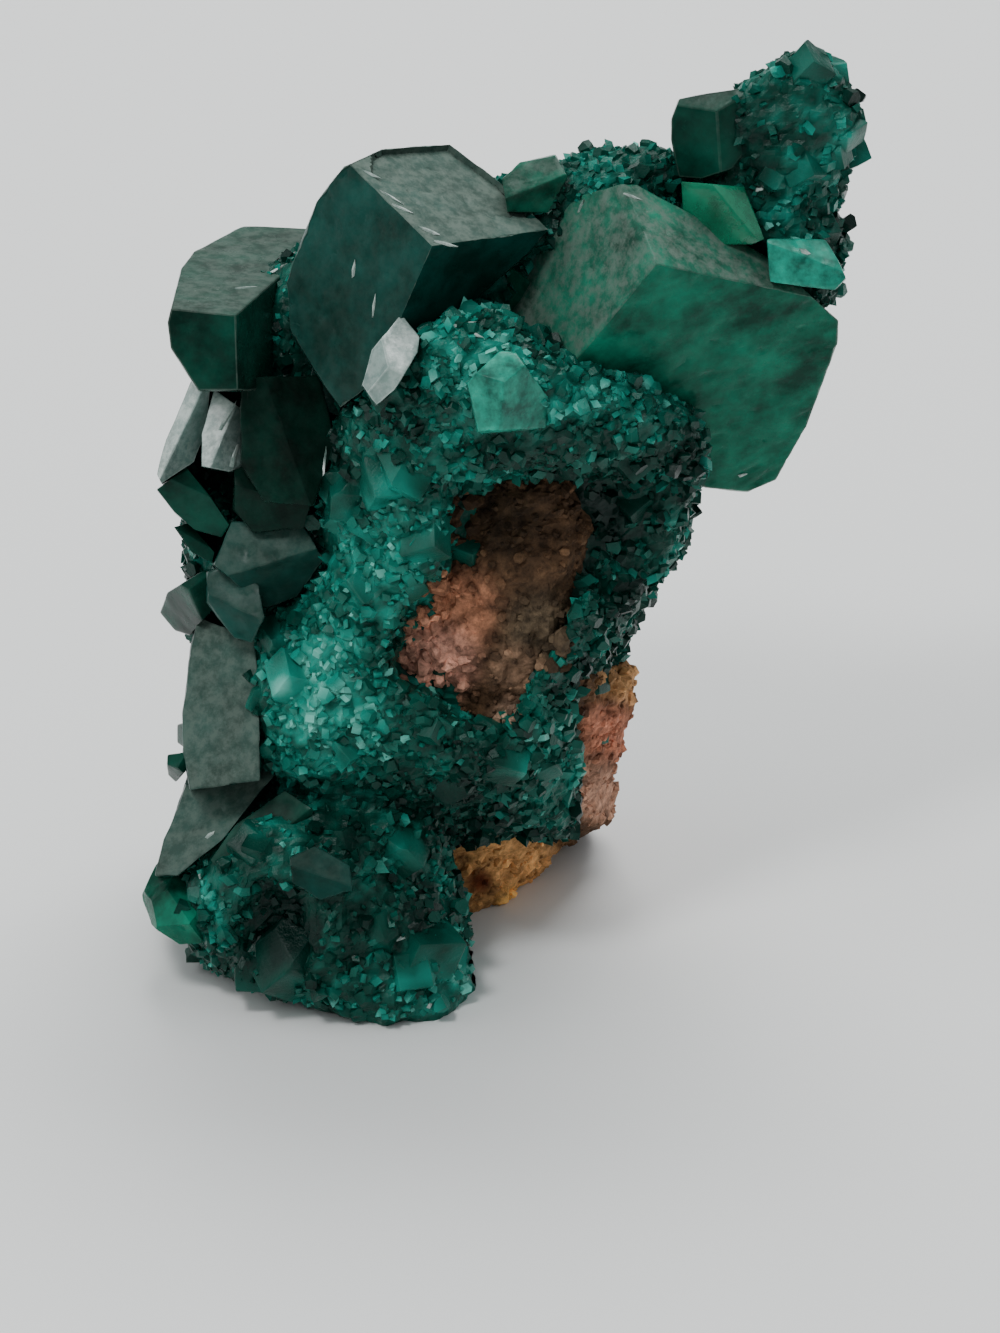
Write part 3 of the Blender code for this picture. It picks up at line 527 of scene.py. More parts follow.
def hollow_solid(hollow):
    """The blank that a hollow is cut with: its floor, and walls that flare to the front."""
    floor = spot(*hollow.outline[0], hollow.floor)
    planes = outline_planes(hollow.outline, hollow.floor, hollow.flare)
    planes.append((floor, Vector((0, 1, 0))))
    return cut_blank(floor, planes)


def hexagonal_solid(tip, axis, turn, radii, length):
    """A six-sided prism along an axis, closed by a three-faced tip."""
    swing = TOWARD.rotation_difference(axis)
    planes = [(tip - axis * length, -axis)]
    for side, radius in enumerate(radii):
        out = swing @ facing(turn + 30 + 60 * side, 90)
        planes.append((tip + out * radius, out))
    for face in range(3):
        planes.append((tip, swing @ facing(turn + 60 + 120 * face, RHOMB_LEAN)))
    return cut_blank(tip, planes)


def boulder_solid(centre, half_sizes, faces, seed):
    """A faceted boulder: flat faces that touch an ellipsoid, spread evenly over it."""
    dice = random.Random(seed)
    golden = math.pi * (3 - math.sqrt(5))
    planes = []
    for index in range(faces):
        level = 1 - 2 * (index + 0.5) / faces
        around = golden * index + dice.uniform(-0.25, 0.25)
        ring = math.sqrt(1 - level * level)
        unit = Vector((ring * math.cos(around), ring * math.sin(around), level))
        point = centre + Vector([u * s for u, s in zip(unit, half_sizes)])
        normal = Vector([u / s for u, s in zip(unit, half_sizes)]).normalized()
        planes.append((point, normal))
    return cut_blank(centre, planes)


def smooth_rows(rows):
    """The rows with ROWS_BETWEEN more between each two, on a smooth curve through them."""
    finer = []
    for index in range(len(rows) - 1):
        before = rows[max(index - 1, 0)]
        start, end = rows[index], rows[index + 1]
        after = rows[min(index + 2, len(rows) - 1)]
        for step in range(ROWS_BETWEEN + 1):
            t = step / (ROWS_BETWEEN + 1)
            finer.append(Row(*(
                b + t * ((c - a) / 2 + t * ((a - 2.5 * b + 2 * c - d / 2)
                         + t * (-a / 2 + 1.5 * b - 1.5 * c + d / 2)))
                for a, b, c, d in zip(before, start, end, after)
            )))
    finer.append(rows[-1])
    return finer


def ring_point(row, angle):
    """A point on a row's outline, a rounded square from left to right and front to rear."""
    cosine, sine = math.cos(angle), math.sin(angle)
    power = 2 / SQUARENESS
    wide = math.copysign(abs(cosine) ** power, cosine)
    deep = math.copysign(abs(sine) ** power, sine)
    across = (row.left + row.right) / 2 + wide * (row.right - row.left) / 2
    near, far = (row.up * FALL - row.front) / RISE, (row.up * FALL - row.rear) / RISE
    toward = (near + far) / 2 + deep * (near - far) / 2
    return RIGHT * across + UPWARD * row.up + TOWARD * toward, RIGHT * wide + TOWARD * deep


def lumpiness(point):
    """How far the surface swells out at a point."""
    return sum(height * noise.noise(point / size) for size, height in LUMPS)


def mass_solid(rows):
    """A lumpy mass through the rows."""
    solid = bmesh.new()
    rings = []
    for row in smooth_rows(rows):
        ring = []
        for side in range(SIDES):
            point, out = ring_point(row, 2 * math.pi * side / SIDES)
            ring.append(solid.verts.new(point + out * lumpiness(point)))
        rings.append(ring)
    for above, below in zip(rings, rings[1:]):
        for side in range(SIDES):
            after = (side + 1) % SIDES
            solid.faces.new((above[side], below[side], below[after], above[after]))
    for ring, flip in ((rings[0], False), (rings[-1], True)):
        pole = solid.verts.new(sum((v.co for v in ring), Vector()) / SIDES)
        for side in range(SIDES):
            pair = (ring[side], ring[(side + 1) % SIDES])
            solid.faces.new((pole, *(reversed(pair) if flip else pair)))
    bmesh.ops.triangulate(solid, faces=solid.faces)
    bmesh.ops.recalc_face_normals(solid, faces=solid.faces)
    return solid


# Objects

def to_object(name, solid, group=None):
    """A new object that holds the solid, still in millimetres."""
    mesh = bpy.data.meshes.new(name)
    bmesh.ops.recalc_face_normals(solid, faces=solid.faces)
    solid.to_mesh(mesh)
    solid.free()
    thing = bpy.data.objects.new(name, mesh)
    (group or bpy.context.scene.collection).objects.link(thing)
    return thing


def from_points(name, points, faces):
    """A new object of these points and faces, still in millimetres."""
    mesh = bpy.data.meshes.new(name)
    mesh.from_pydata(np.concatenate(points).tolist(), [], faces)
    thing = bpy.data.objects.new(name, mesh)
    bpy.context.scene.collection.objects.link(thing)
    return thing


def add_part(whole, part):
    """Adds a small solid to the one that holds them all."""
    mesh = bpy.data.meshes.new("part")
    part.to_mesh(mesh)
    part.free()
    whole.from_mesh(mesh)
    bpy.data.meshes.remove(mesh)


def bake_modifiers(thing):
    graph = bpy.context.evaluated_depsgraph_get()
    graph.update()
    made = bpy.data.meshes.new_from_object(thing.evaluated_get(graph))
    thing.modifiers.clear()
    thing.data = made


def combine(thing, solids, operation):
    """Joins all the solids to the thing, or cuts them away."""
    group = bpy.data.collections.new("helpers")
    bpy.context.scene.collection.children.link(group)
    for solid in solids:
        to_object("helper", solid, group)
    boolean = thing.modifiers.new(operation.lower(), "BOOLEAN")
    boolean.solver = "MANIFOLD"
    boolean.operation = operation
    boolean.operand_type = "COLLECTION"
    boolean.collection = group
    bake_modifiers(thing)
    for helper in list(group.objects):
        bpy.data.objects.remove(helper)
    bpy.data.collections.remove(group)


def remesh(thing, size):
    """Rebuilds the thing's surface from even squares of that size, in millimetres."""
    voxels = thing.modifiers.new("even", "REMESH")
    voxels.mode = "VOXEL"
    voxels.voxel_size = size
    bake_modifiers(thing)


def level_floor(thing):
    """Trims the thing flat at the floor."""
    solid = bmesh.new()
    solid.from_mesh(thing.data)
    trim(solid, Vector((0, 0, 0)), Vector((0, 0, -1)))
    bmesh.ops.triangulate(solid, faces=solid.faces)
    solid.to_mesh(thing.data)
    solid.free()


def settle(thing, material, smooth=False):
    """Brings the thing from millimetres to its place in the frame, and gives it its finish."""
    low, high = size_at_start
    for vertex in thing.data.vertices:
        place = (vertex.co + FOOT) * MM
        vertex.co = [min(max(c, a), b) for c, a, b in zip(place, low, high)]
    thing.data.materials.clear()
    thing.data.materials.append(material)
    thing.data.polygons.foreach_set("use_smooth", [smooth] * len(thing.data.polygons))
    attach(thing, "root")


def set_tint(thing, tints):
    """Keeps one number from 0 to 1 for each point of the thing, for its material to use."""
    layer = thing.data.attributes.new("tint", "FLOAT", "POINT")
    layer.data.foreach_set("value", [min(max(t, 0.0), 1.0) for t in tints])


def zone_tint(point, zones):
    """The sum of the zones' strengths at a point, each fading out from its middle."""
    up = point.dot(UPWARD)
    total = 0.0
    for zone in zones:
        away = math.hypot(point.x - zone.across, up - zone.up) / zone.radius
        total += zone.strength * math.exp(-away * away)
    return total if point.dot(TOWARD) > ZONES_BACK else total * ZONES_BACK_SHARE


# Surfaces

def split_triangle(a, b, c, ab, bc, ca, points):
    """The triangles that one is cut into, where some of its edges have a middle point."""
    cuts = (ab is not None) + (bc is not None) + (ca is not None)
    if cuts == 0:
        return [(a, b, c)]
    if cuts == 3:
        return [(a, ab, ca), (ab, b, bc), (ca, bc, c), (ab, bc, ca)]
    while ab is None or (cuts == 2 and bc is None):
        a, b, c, ab, bc, ca = b, c, a, bc, ca, ab
    if cuts == 1:
        return [(a, ab, c), (ab, b, c)]
    if (points[a] - points[bc]).length < (points[ab] - points[c]).length:
        return [(ab, b, bc), (a, ab, bc), (a, bc, c)]
    return [(ab, b, bc), (a, ab, c), (ab, bc, c)]


def edge_middles(points, triangles, longest):
    """Adds the middle point of each edge that is too long, and says which edge has which."""
    middles = {}
    for triangle in triangles:
        for pair in edge_pairs(triangle):
            if pair not in middles:
                start, end = points[pair[0]], points[pair[1]]
                middles[pair] = None
                if (end - start).length > longest:
                    middles[pair] = len(points)
                    points.append((start + end) / 2)
    return middles


def edge_pairs(triangle):
    a, b, c = triangle
    return (min(a, b), max(a, b)), (min(b, c), max(b, c)), (min(c, a), max(c, a))


def refine(solid, longest):
    """A new solid of the same shape, with no edge longer than that."""
    bmesh.ops.triangulate(solid, faces=solid.faces)
    solid.verts.index_update()
    points = [v.co.copy() for v in solid.verts]
    triangles = [tuple(v.index for v in f.verts) for f in solid.faces]
    solid.free()
    while True:
        middles = edge_middles(points, triangles, longest)
        if not any(middle is not None for middle in middles.values()):
            break
        triangles = [
            piece for triangle in triangles for piece in split_triangle(
                *triangle, *(middles[pair] for pair in edge_pairs(triangle)), points)
        ]
    mesh = bpy.data.meshes.new("refined")
    mesh.from_pydata(points, [], triangles)
    finer = bmesh.new()
    finer.from_mesh(mesh)
    bpy.data.meshes.remove(mesh)
    return finer


def weather_faces(solid, look, seed):
    """Makes a crystal's faces undulate a little, and etches shallow pits in them."""
    shift = Vector((seed, seed * 0.7, -seed * 1.3))
    solid.normal_update()
    moves = []
    for vertex in solid.verts:
        place = vertex.co + shift
        move = look.swell * (noise.noise(place / 2.2) + 0.4 * noise.noise(place / 0.7))
        pit = noise.noise(place / 0.55) + 0.5 * noise.noise(place / 0.27)
        move -= look.pits * max(pit - 0.12, 0.0)
        moves.append(vertex.normal * move)
    for vertex, move in zip(solid.verts, moves):
        vertex.co += move


def grainy_facets(point, size):
    """How far a spot stands out on a crust of grains of that size, each with a tilted face."""
    _, seeds = noise.voronoi(point / size)
    seed = seeds[0]
    tilt = noise.noise_vector(seed * 7.31)
    return (point / size - seed).dot(tilt) * 0.8 + 0.5 * noise.noise(seed * 5.17)


def roughen(thing, grains, ripples):
    """Pushes the thing's points in and out by layers of grains and of soft ripples.

    Each layer is a pair of its size and its height, in mm.
    """
    moves = []
    for vertex in thing.data.vertices:
        height = sum(high * grainy_facets(vertex.co, size) for size, high in grains)
        height += sum(high * noise.noise(vertex.co / size) for size, high in ripples)
        moves.append(vertex.normal * height)
    for vertex, move in zip(thing.data.vertices, moves):
        vertex.co += move
        vertex.co.z = max(vertex.co.z, 0.0)


# The pieces

def make_big_crystals(materials):
    made = []
    for number, crystal in enumerate(CRYSTALS + SHADED_RECESS_CRYSTALS):
        planes = crystal_planes(crystal)
        solid = cut_blank(spot(*crystal.tip), planes)
        sheens = painted_sheens_of(crystal)
        made.append(finish_crystal(
            solid, crystal.name, crystal.look, number, materials, planes, sheens))
    for number, crystal in enumerate(HIDDEN_CRYSTALS):
        axis = facing(crystal.bearing, crystal.tilt)
        radii = [crystal.radius] * 6
        solid = hexagonal_solid(spot(*crystal.tip), axis, crystal.turn, radii, crystal.length)
        finish_crystal(solid, crystal.name, REAR, 40 + number, materials)
    for number, boulder in enumerate(BOULDERS):
        centre = spot(*boulder.centre)
        solid = boulder_solid(centre, boulder.half_sizes, boulder.faces, number)
        finish_crystal(solid, boulder.name, ETCHED, 50 + number, materials)
    return made


def painted_sheens_of(crystal):
    """How much painted sheen each of the crystal's planes has, in the order of crystal_planes."""
    sides = [SIDE_SHEEN] * len(crystal.outline)
    tips = PAINTED_SHEEN_FACES.get(crystal.name, [SIDE_SHEEN] * len(crystal.faces))
    return [*sides, *tips, 0.0]


def mark_painted_sheen(solid, planes, sheens):
    """Keeps with each face how much painted sheen its plane has, and gives worn edges a painted
    highlight.
    """
    layer = solid.faces.layers.float.new("frost")
    # Worn edges get a painted highlight, a share of the most sheened face.
    edge_highlight = EDGE_HIGHLIGHT_SHARE * max(sheens)
    solid.normal_update()
    for face in solid.faces:
        match, frost = max(
            (face.normal.dot(plane[1]), frost) for plane, frost in zip(planes, sheens)
        )
        face[layer] = frost if match > SAME_FACE else edge_highlight


def make_studs(ground, material):
    """The smaller crystals that stand on the masses, at the places that they have in the CAD."""
    dice = random.Random(STUD_SEED)
    studs = bmesh.new()
    for patch in STUD_PATCHES:
        middle = spot(*patch.middle)
        made = 0
        while made < patch.count:
            aim = middle + Vector([dice.uniform(-size, size) for size in patch.half_sizes])
            hit, normal = outer_surface(ground, aim, dice)
            if hit.z < STUD_LOWEST:
                continue
            radius = dice.uniform(*patch.radii)
            axis = (normal + Vector([dice.uniform(-0.5, 0.5) for _ in range(3)])).normalized()
            radii = [radius * dice.uniform(0.8, 1.1) for _ in range(6)]
            tip = hit + axis * radius * dice.uniform(0.5, 0.9)
            solid = hexagonal_solid(tip, axis, dice.uniform(0, 120), radii, STUD_LENGTH * radius)
            bevel_edges(solid, STUD_BEVEL)
            solid = refine(solid, STUD_STEP)
            weather_faces(solid, SLATE, made)
            add_part(studs, solid)
            made += 1
    thing = to_object("druse_studs", studs)
    set_tint(thing, [druse_tint(v.co) for v in thing.data.vertices])
    settle(thing, material, smooth=True)
    thing.data.set_sharp_from_angle(angle=SHARP)


def any_way(dice):
    return Vector([dice.gauss(0, 1) for _ in range(3)]).normalized()


def outer_surface(surface, aim, dice):
    """Where a ray from outside, in a random direction towards aim, meets the surface."""
    while True:
        way = any_way(dice)
        hit, normal, _, _ = surface.ray_cast(aim + way * BLOCK, -way)
        if hit is not None:
            return hit, normal


def bevel_edges(solid, width):
    bmesh.ops.bevel(
        solid, geom=solid.edges[:], offset=width, segments=2, profile=0.6,
        affect="EDGES", clamp_overlap=True
    )


def finish_crystal(solid, name, look, seed, materials, planes=None, sheens=None):
    bmesh.ops.recalc_face_normals(solid, faces=solid.faces)
    bevel_edges(solid, look.bevel)
    solid = refine(solid, look.step)
    if planes:
        mark_painted_sheen(solid, planes, sheens)
    if name == "middle":
        lower_ledge(solid, LEDGE_LINE, LEDGE_DROP)
    weather_faces(solid, look, seed)
    thing = to_object("crystal_" + name, solid)
    settle(thing, materials[look.material], smooth=True)
    thing.data.set_sharp_from_angle(angle=SHARP)
    return thing


def lower_ledge(solid, line, drop):
    """Lowers the part of a crystal's front that lies above a line, as a step in its growth."""
    solid.normal_update()
    for vertex in solid.verts:
        across, up = vertex.co.x, vertex.co.dot(UPWARD)
        for (left, low), (right, high) in zip(line, line[1:]):
            if left <= across < right and vertex.normal.dot(TOWARD) > 0.3:
                edge = low + (high - low) * (across - left) / (right - left)
                if up > edge:
                    vertex.co -= vertex.normal * drop


def make_body(material):
    """The granular mass, with its hollows, as one even surface roughened by grains."""
    thing = to_object("druse_body", mass_solid(BACK_MASS))
    masses = (FRONT_MASS, FOOT_MASS, RIDGE_MASS, KNOB_MASS)
    combine(thing, [mass_solid(rows) for rows in masses], "UNION")
    combine(thing, [hollow_solid(hollow) for hollow in HOLLOWS], "DIFFERENCE")
    ground = surface_tree(thing)
    remesh(thing, BODY_SQUARE)
    roughen(thing, BODY_GRAINS, BODY_RIPPLES)
    set_tint(thing, [
        druse_tint(v.co) - 0.06 + 0.3 * noise.noise(v.co / 0.4) for v in thing.data.vertices
    ])
    samples = sample_surface(thing, CRUST_COUNT, 3)
    settle(thing, material)
    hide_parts("dioptase_crystals")
    return samples, ground


def surface_tree(thing):
    return BVHTree.FromPolygons(
        [v.co[:] for v in thing.data.vertices], [p.vertices[:] for p in thing.data.polygons]
    )


def sample_surface(thing, count, seed):
    """Random points on the thing's surface, each with the normal there.

    The faces are put in order by place, because a rebuilt mesh has another order each run.
    """
    dice = np.random.default_rng(seed)
    faces = sorted(thing.data.polygons, key=lambda face: [round(c, 3) for c in face.center])
    centres = np.array([face.center[:] for face in faces])
    normals = np.array([face.normal[:] for face in faces])
    areas = np.array([face.area for face in faces])
    picks = dice.choice(len(faces), count, p=areas / areas.sum())
    offsets = dice.uniform(-0.5, 0.5, (count, 3)) * np.sqrt(areas[picks, None])
    offsets -= normals[picks] * (offsets * normals[picks]).sum(axis=1, keepdims=True)
    points = centres[picks] + offsets
    return [(Vector(p), Vector(n)) for p, n in zip(points, normals[picks])]


def inside_any_crystal(point, planes_of_all):
    return any(
        all((point - on).dot(normal) < -BURIED for on, normal in planes)
        for planes in planes_of_all
    )


def rhomb_solid(reaches, turn):
    """A rhombohedron round a point, its three pairs of faces that far away."""
    planes = []
    axis = Vector((0, 0, 1))
    swing = TOWARD.rotation_difference(axis)
    for face, reach in enumerate(reaches):
        normal = swing @ facing(turn + 120 * face, RHOMB_LEAN)
        planes += [(normal * reach, normal), (-normal * reach, -normal)]
    return cut_blank(Vector(), planes)


def crust_shapes(dice):
    """Small prisms and rhombohedra, one millimetre in radius, as points and faces."""
    prisms, rhombs = [], []
    for _ in range(CRUST_SHAPES):
        radii = [dice.uniform(0.7, 1.1) for _ in range(6)]
        axis = Vector((0, 0, 1))
        prisms.append(hexagonal_solid(Vector(), axis, dice.uniform(0, 120), radii, 2.2))
        reaches = [dice.uniform(0.55, 1.1) for _ in range(3)]
        rhombs.append(rhomb_solid(reaches, dice.uniform(0, 120)))
    return [points_and_faces(solid) for solid in prisms], [points_and_faces(s) for s in rhombs]


def points_and_faces(solid):
    bmesh.ops.recalc_face_normals(solid, faces=solid.faces)
    solid.verts.index_update()
    points = np.array([v.co[:] for v in solid.verts])
    faces = [[v.index for v in f.verts] for f in solid.faces]
    solid.free()
    return points, faces


def make_crust(samples, rock, material):
    """Thousands of tiny crystals that stand on the granular mass, in front and behind."""
    dice = random.Random(5)
    prisms, rhombs = crust_shapes(dice)
    planes_of_all = [crystal_planes(crystal) for crystal in CRYSTALS]
    halves = {"druse_crust_front": ([], [], []), "druse_crust_back": ([], [], [])}
    for place, normal in samples:
        radius = CRUST_RADIUS[0] + (CRUST_RADIUS[1] - CRUST_RADIUS[0]) * dice.random() ** 2
        sway = Vector([dice.uniform(-1.1, 1.1) for _ in range(3)])
        axis = (normal * 0.8 + sway).normalized()
        turn = Matrix.Rotation(dice.uniform(0, math.tau), 3, "Z")
        shape, sides = dice.choice(prisms if radius > PRISM_RADIUS else rhombs)
        lift, shade = dice.uniform(0.0, 0.6), dice.gauss(0, 0.08)
        painted_glint = PAINTED_GLINT if dice.random() < PAINTED_GLINT_SHARE else 0.0
        stretch = 1.0 if radius > PRISM_RADIUS else dice.uniform(*CRUST_STRETCH)
        rocky = 2 * zone_tint(place, CRUMB_ZONES) - CRUMB_EDGE
        bare = max(zone_tint(place, SPARSE_ZONES), rocky)
        if dice.random() < bare or place.z < CRUST_LOWEST:
            continue
        if inside_any_crystal(place, planes_of_all):
            continue
        nearest, out, _, _ = rock.find_nearest(place)
        if (place - nearest).dot(out) < ROCK_GAP:
            continue
        swing = Vector((0, 0, 1)).rotation_difference(axis).to_matrix() @ turn
        long_shape = shape * (1, 1, stretch)
        placed = long_shape @ np.array(swing).T * radius + np.array(place + axis * radius * lift)
        half = "druse_crust_front" if normal.dot(TOWARD) > -0.1 else "druse_crust_back"
        points, faces, tints = halves[half]
        start = len(tints)
        points.append(placed)
        faces += [[start + index for index in side] for side in sides]
        # Painted light on each grain: brighter at its tip, darker at its base, and a glint on a
        # few.
        tint = druse_tint(place) + PAINTED_TIP_LIGHT / 2 + shade + painted_glint
        tints += [tint + PAINTED_TIP_LIGHT * height for height in shape[:, 2]]
    for name, (points, faces, tints) in halves.items():
        thing = from_points(name, points, faces)
        set_tint(thing, tints)
        settle(thing, material)


def make_crumbs(rock_samples, body_samples, material):
    """Small fragments of rock on the matrix and over the edges of its hollow."""
    dice = random.Random(9)
    shapes = []
    for seed in range(CRUST_SHAPES):
        solid = boulder_solid(Vector(), (1.0, 0.8, 0.7), CRUMB_FACES, seed)
        shapes.append(points_and_faces(solid))
    places = [(place, 0.0) for place, _ in rock_samples]
    for place, normal in body_samples:
        cover = 2 * zone_tint(place, CRUMB_ZONES) - CRUMB_EDGE
        if dice.random() < cover and normal.dot(TOWARD) > -0.2:
            places.append((place, CRUMB_GROWTH * min(cover, 1.0)))
    points, faces, colours = [], [], []
    for place, extra in places:
        spread = (CRUMB_RADIUS[1] - CRUMB_RADIUS[0]) * dice.random() ** 2.5
        radius = CRUMB_RADIUS[0] + spread + extra
        way = any_way(dice)
        swing = Vector((0, 0, 1)).rotation_difference(way).to_matrix()
        shape, sides = dice.choice(shapes)
        shade = dice.uniform(0.55, 1.5)
        if place.z < radius:
            continue
        start = len(colours)
        points.append(shape @ np.array(swing).T * radius + np.array(place))
        faces += [[start + index for index in side] for side in sides]
        colours += [[c * shade for c in earth_colour(place)]] * len(points[-1])
    thing = from_points("rock_crumbs", points, faces)
    set_earth(thing, colours)
    settle(thing, material)


def earth_colour(point):
    """The rock's own colour at a spot, mottled."""
    up = point.dot(UPWARD)
    colour = Vector(PLAIN_EARTH)
    for earth in EARTHS:
        away = math.hypot(point.x - earth.across, up - earth.up) / earth.radius
        share = math.exp(-away ** 4) if point.dot(TOWARD) > EARTHS_BACK else 0
        colour = colour.lerp(Vector(earth.colour), share)
    return colour * (1 + 0.5 * noise.noise(point / 0.8) + 0.4 * noise.noise(point / 0.3))


def set_earth(thing, colours):
    """Keeps a colour for each point of the thing, for the rock's material."""
    layer = thing.data.attributes.new("earth", "FLOAT_COLOR", "POINT")
    flat = [part for r, g, b in colours for part in (max(r, 0), max(g, 0), max(b, 0), 1)]
    layer.data.foreach_set("color", flat)


def make_highlight_chips(trees, material):
    """The little pale chips of painted highlight, each lying on the first surface that is seen at
    its place.
    """
    highlight_chips = bmesh.new()
    for number, highlight_chip in enumerate(HIGHLIGHT_CHIPS):
        start = spot(highlight_chip.across, highlight_chip.up, 0) + TOWARD * BLOCK
        hits = [tree.ray_cast(start, -TOWARD) for tree in trees]
        hits = [hit for hit in hits if hit[0] is not None]
        if not hits:
            continue
        place, normal, _, _ = min(hits, key=lambda hit: hit[3])
        around = math.radians(highlight_chip.bearing)
        along = RIGHT * math.cos(around) + UPWARD * math.sin(around)
        along = (along - normal * along.dot(normal)).normalized()
        sideways = normal.cross(along)
        half_sizes = (highlight_chip.length * 0.4, highlight_chip.width * 0.3, HIGHLIGHT_CHIP_RISE)
        chip = boulder_solid(Vector(), half_sizes, HIGHLIGHT_CHIP_FACES, number)
        turn = Matrix((along, sideways, normal)).transposed().to_4x4()
        bmesh.ops.transform(chip, verts=chip.verts, matrix=Matrix.Translation(place) @ turn)
        add_part(highlight_chips, chip)
    thing = to_object("painted_highlight_chips", highlight_chips)
    settle(thing, material)


def druse_tint(point):
    """How bright the dioptase is at a spot, from 0 to 1, with the painted shade of the dark zones
    included.
    """
    clouds = 0.34 * noise.noise(point / 2.6) + 0.30 * noise.noise(point / 0.9)
    return 0.38 + clouds + zone_tint(point, TONE_AND_SHADE_ZONES)


def make_rock(material):
    """The matrix rock, crumbly where it shows."""
    thing = to_object("matrix_surface", mass_solid(MATRIX))
    level_floor(thing)
    remesh(thing, ROCK_SQUARE)
    roughen(thing, ROCK_GRAINS, ROCK_RIPPLES)
    rock = surface_tree(thing)
    samples = sample_surface(thing, CRUMB_COUNT, 4)
    set_earth(thing, [earth_colour(v.co) for v in thing.data.vertices])
    settle(thing, material)
    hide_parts("matrix_rock")
    return rock, samples


# Materials

# The colours of the painted sheen: grey for reflected light on crystal faces, near white for the
# painted highlight on pale ones.
GREY_SHEEN = (0.125, 0.165, 0.140)
WHITE_HIGHLIGHT = (0.50, 0.58, 0.54)


def shader_of(name):
    material = bpy.data.materials.new(name)
    material.use_nodes = True
    return material, material.node_tree.nodes, material.node_tree.links


def blend_steps(ramp, steps):
    """Sets a colour ramp to go through the steps, each a position and a colour."""
    elements = ramp.color_ramp.elements
    for _ in range(len(steps) - 2):
        elements.new(0.5)
    for element, (position, colour) in zip(elements, steps):
        element.position = position
        element.color = (*colour, 1)


def noise_texture(nodes, links, size, detail, roughness):
    """Noise over the object whose blotches are about that many millimetres wide."""
    place = nodes.new("ShaderNodeTexCoord")
    texture = nodes.new("ShaderNodeTexNoise")
    texture.inputs["Scale"].default_value = 1 / (size * MM)
    texture.inputs["Detail"].default_value = detail
    texture.inputs["Roughness"].default_value = roughness
    links.new(place.outputs["Object"], texture.inputs["Vector"])
    return texture


def attribute(nodes, name):
    """What a mesh keeps under that name for each of its points or faces."""
    node = nodes.new("ShaderNodeAttribute")
    node.attribute_name = name
    return node


def map_range(nodes, links, value, span, result):
    """A value that runs over the result while the one that it follows runs over the span."""
    node = nodes.new("ShaderNodeMapRange")
    names = ("From Min", "From Max", "To Min", "To Max")
    for name, number in zip(names, (*span, *result)):
        node.inputs[name].default_value = number
    links.new(value, node.inputs["Value"])
    return node.outputs["Result"]


def add_bump(nodes, links, size, height, strength):
    """A fine unevenness of the surface, size and height in millimetres."""
    grain = noise_texture(nodes, links, size, 4, 0.65)
    bump = nodes.new("ShaderNodeBump")
    bump.inputs["Strength"].default_value = strength
    bump.inputs["Distance"].default_value = height * MM
    links.new(grain.outputs["Fac"], bump.inputs["Height"])
    links.new(bump.outputs["Normal"], nodes["Principled BSDF"].inputs["Normal"])


def crystal_material(name, finish):
    """Emerald green crystal, clouded inside, with a painted grey sheen for reflected light on its
    marked faces.
    """
    material, nodes, links = shader_of(name)
    shader = nodes["Principled BSDF"]
    veils = noise_texture(nodes, links, finish.cloud, 5, 0.66)
    ramp = nodes.new("ShaderNodeValToRGB")
    blend_steps(ramp, ((0.36, finish.dark), (0.68, finish.bright)))
    links.new(veils.outputs["Fac"], ramp.inputs["Fac"])

    frost = attribute(nodes, "frost")
    pits = noise_texture(nodes, links, 0.55, 5, 0.72)
    mottle = map_range(nodes, links, pits.outputs["Fac"], (0.40, 0.60), (finish.evenness, 1.0))
    share = nodes.new("ShaderNodeMath")
    share.operation = "MULTIPLY"
    share.use_clamp = True
    links.new(frost.outputs["Fac"], share.inputs[0])
    links.new(mottle, share.inputs[1])
    mix = nodes.new("ShaderNodeMix")
    mix.data_type = "RGBA"
    mix.inputs["B"].default_value = (*finish.frost, 1)
    links.new(share.outputs["Value"], mix.inputs["Factor"])
    links.new(ramp.outputs["Color"], mix.inputs["A"])
    links.new(mix.outputs["Result"], shader.inputs["Base Color"])

    haze = noise_texture(nodes, links, 0.8, 3, 0.6)
    roughness = (finish.roughness * 0.7, finish.roughness * 1.5)
    spread = map_range(nodes, links, haze.outputs["Fac"], (0.3, 0.7), roughness)
    links.new(spread, shader.inputs["Roughness"])
    shader.inputs["IOR"].default_value = 1.6
    shader.inputs["Specular IOR Level"].default_value = finish.shine
    shader.inputs["Transmission Weight"].default_value = finish.clear
    add_bump(nodes, links, 0.28, 0.02, 0.5)
    return material


def druse_material():
    """The crust's green, from near black to pale aqua by each grain's tint, which holds its own
    tone with painted shade, tip light and glints.
    """
    material, nodes, links = shader_of("druse")
    shader = nodes["Principled BSDF"]
    tint = attribute(nodes, "tint")
    ramp = nodes.new("ShaderNodeValToRGB")
    blend_steps(ramp, (
        (0.0, (0.000, 0.013, 0.009)),
        (0.3, (0.000, 0.042, 0.028)),
        (0.55, (0.000, 0.105, 0.074)),
        (0.78, (0.004, 0.240, 0.180)),
        (1.0, (0.140, 0.500, 0.410)),
    ))
    links.new(tint.outputs["Fac"], ramp.inputs["Fac"])
    links.new(ramp.outputs["Color"], shader.inputs["Base Color"])
    shader.inputs["Roughness"].default_value = 0.3
    shader.inputs["IOR"].default_value = 1.6
    shader.inputs["Specular IOR Level"].default_value = 0.14
    add_bump(nodes, links, 0.16, 0.05, 0.7)
    return material


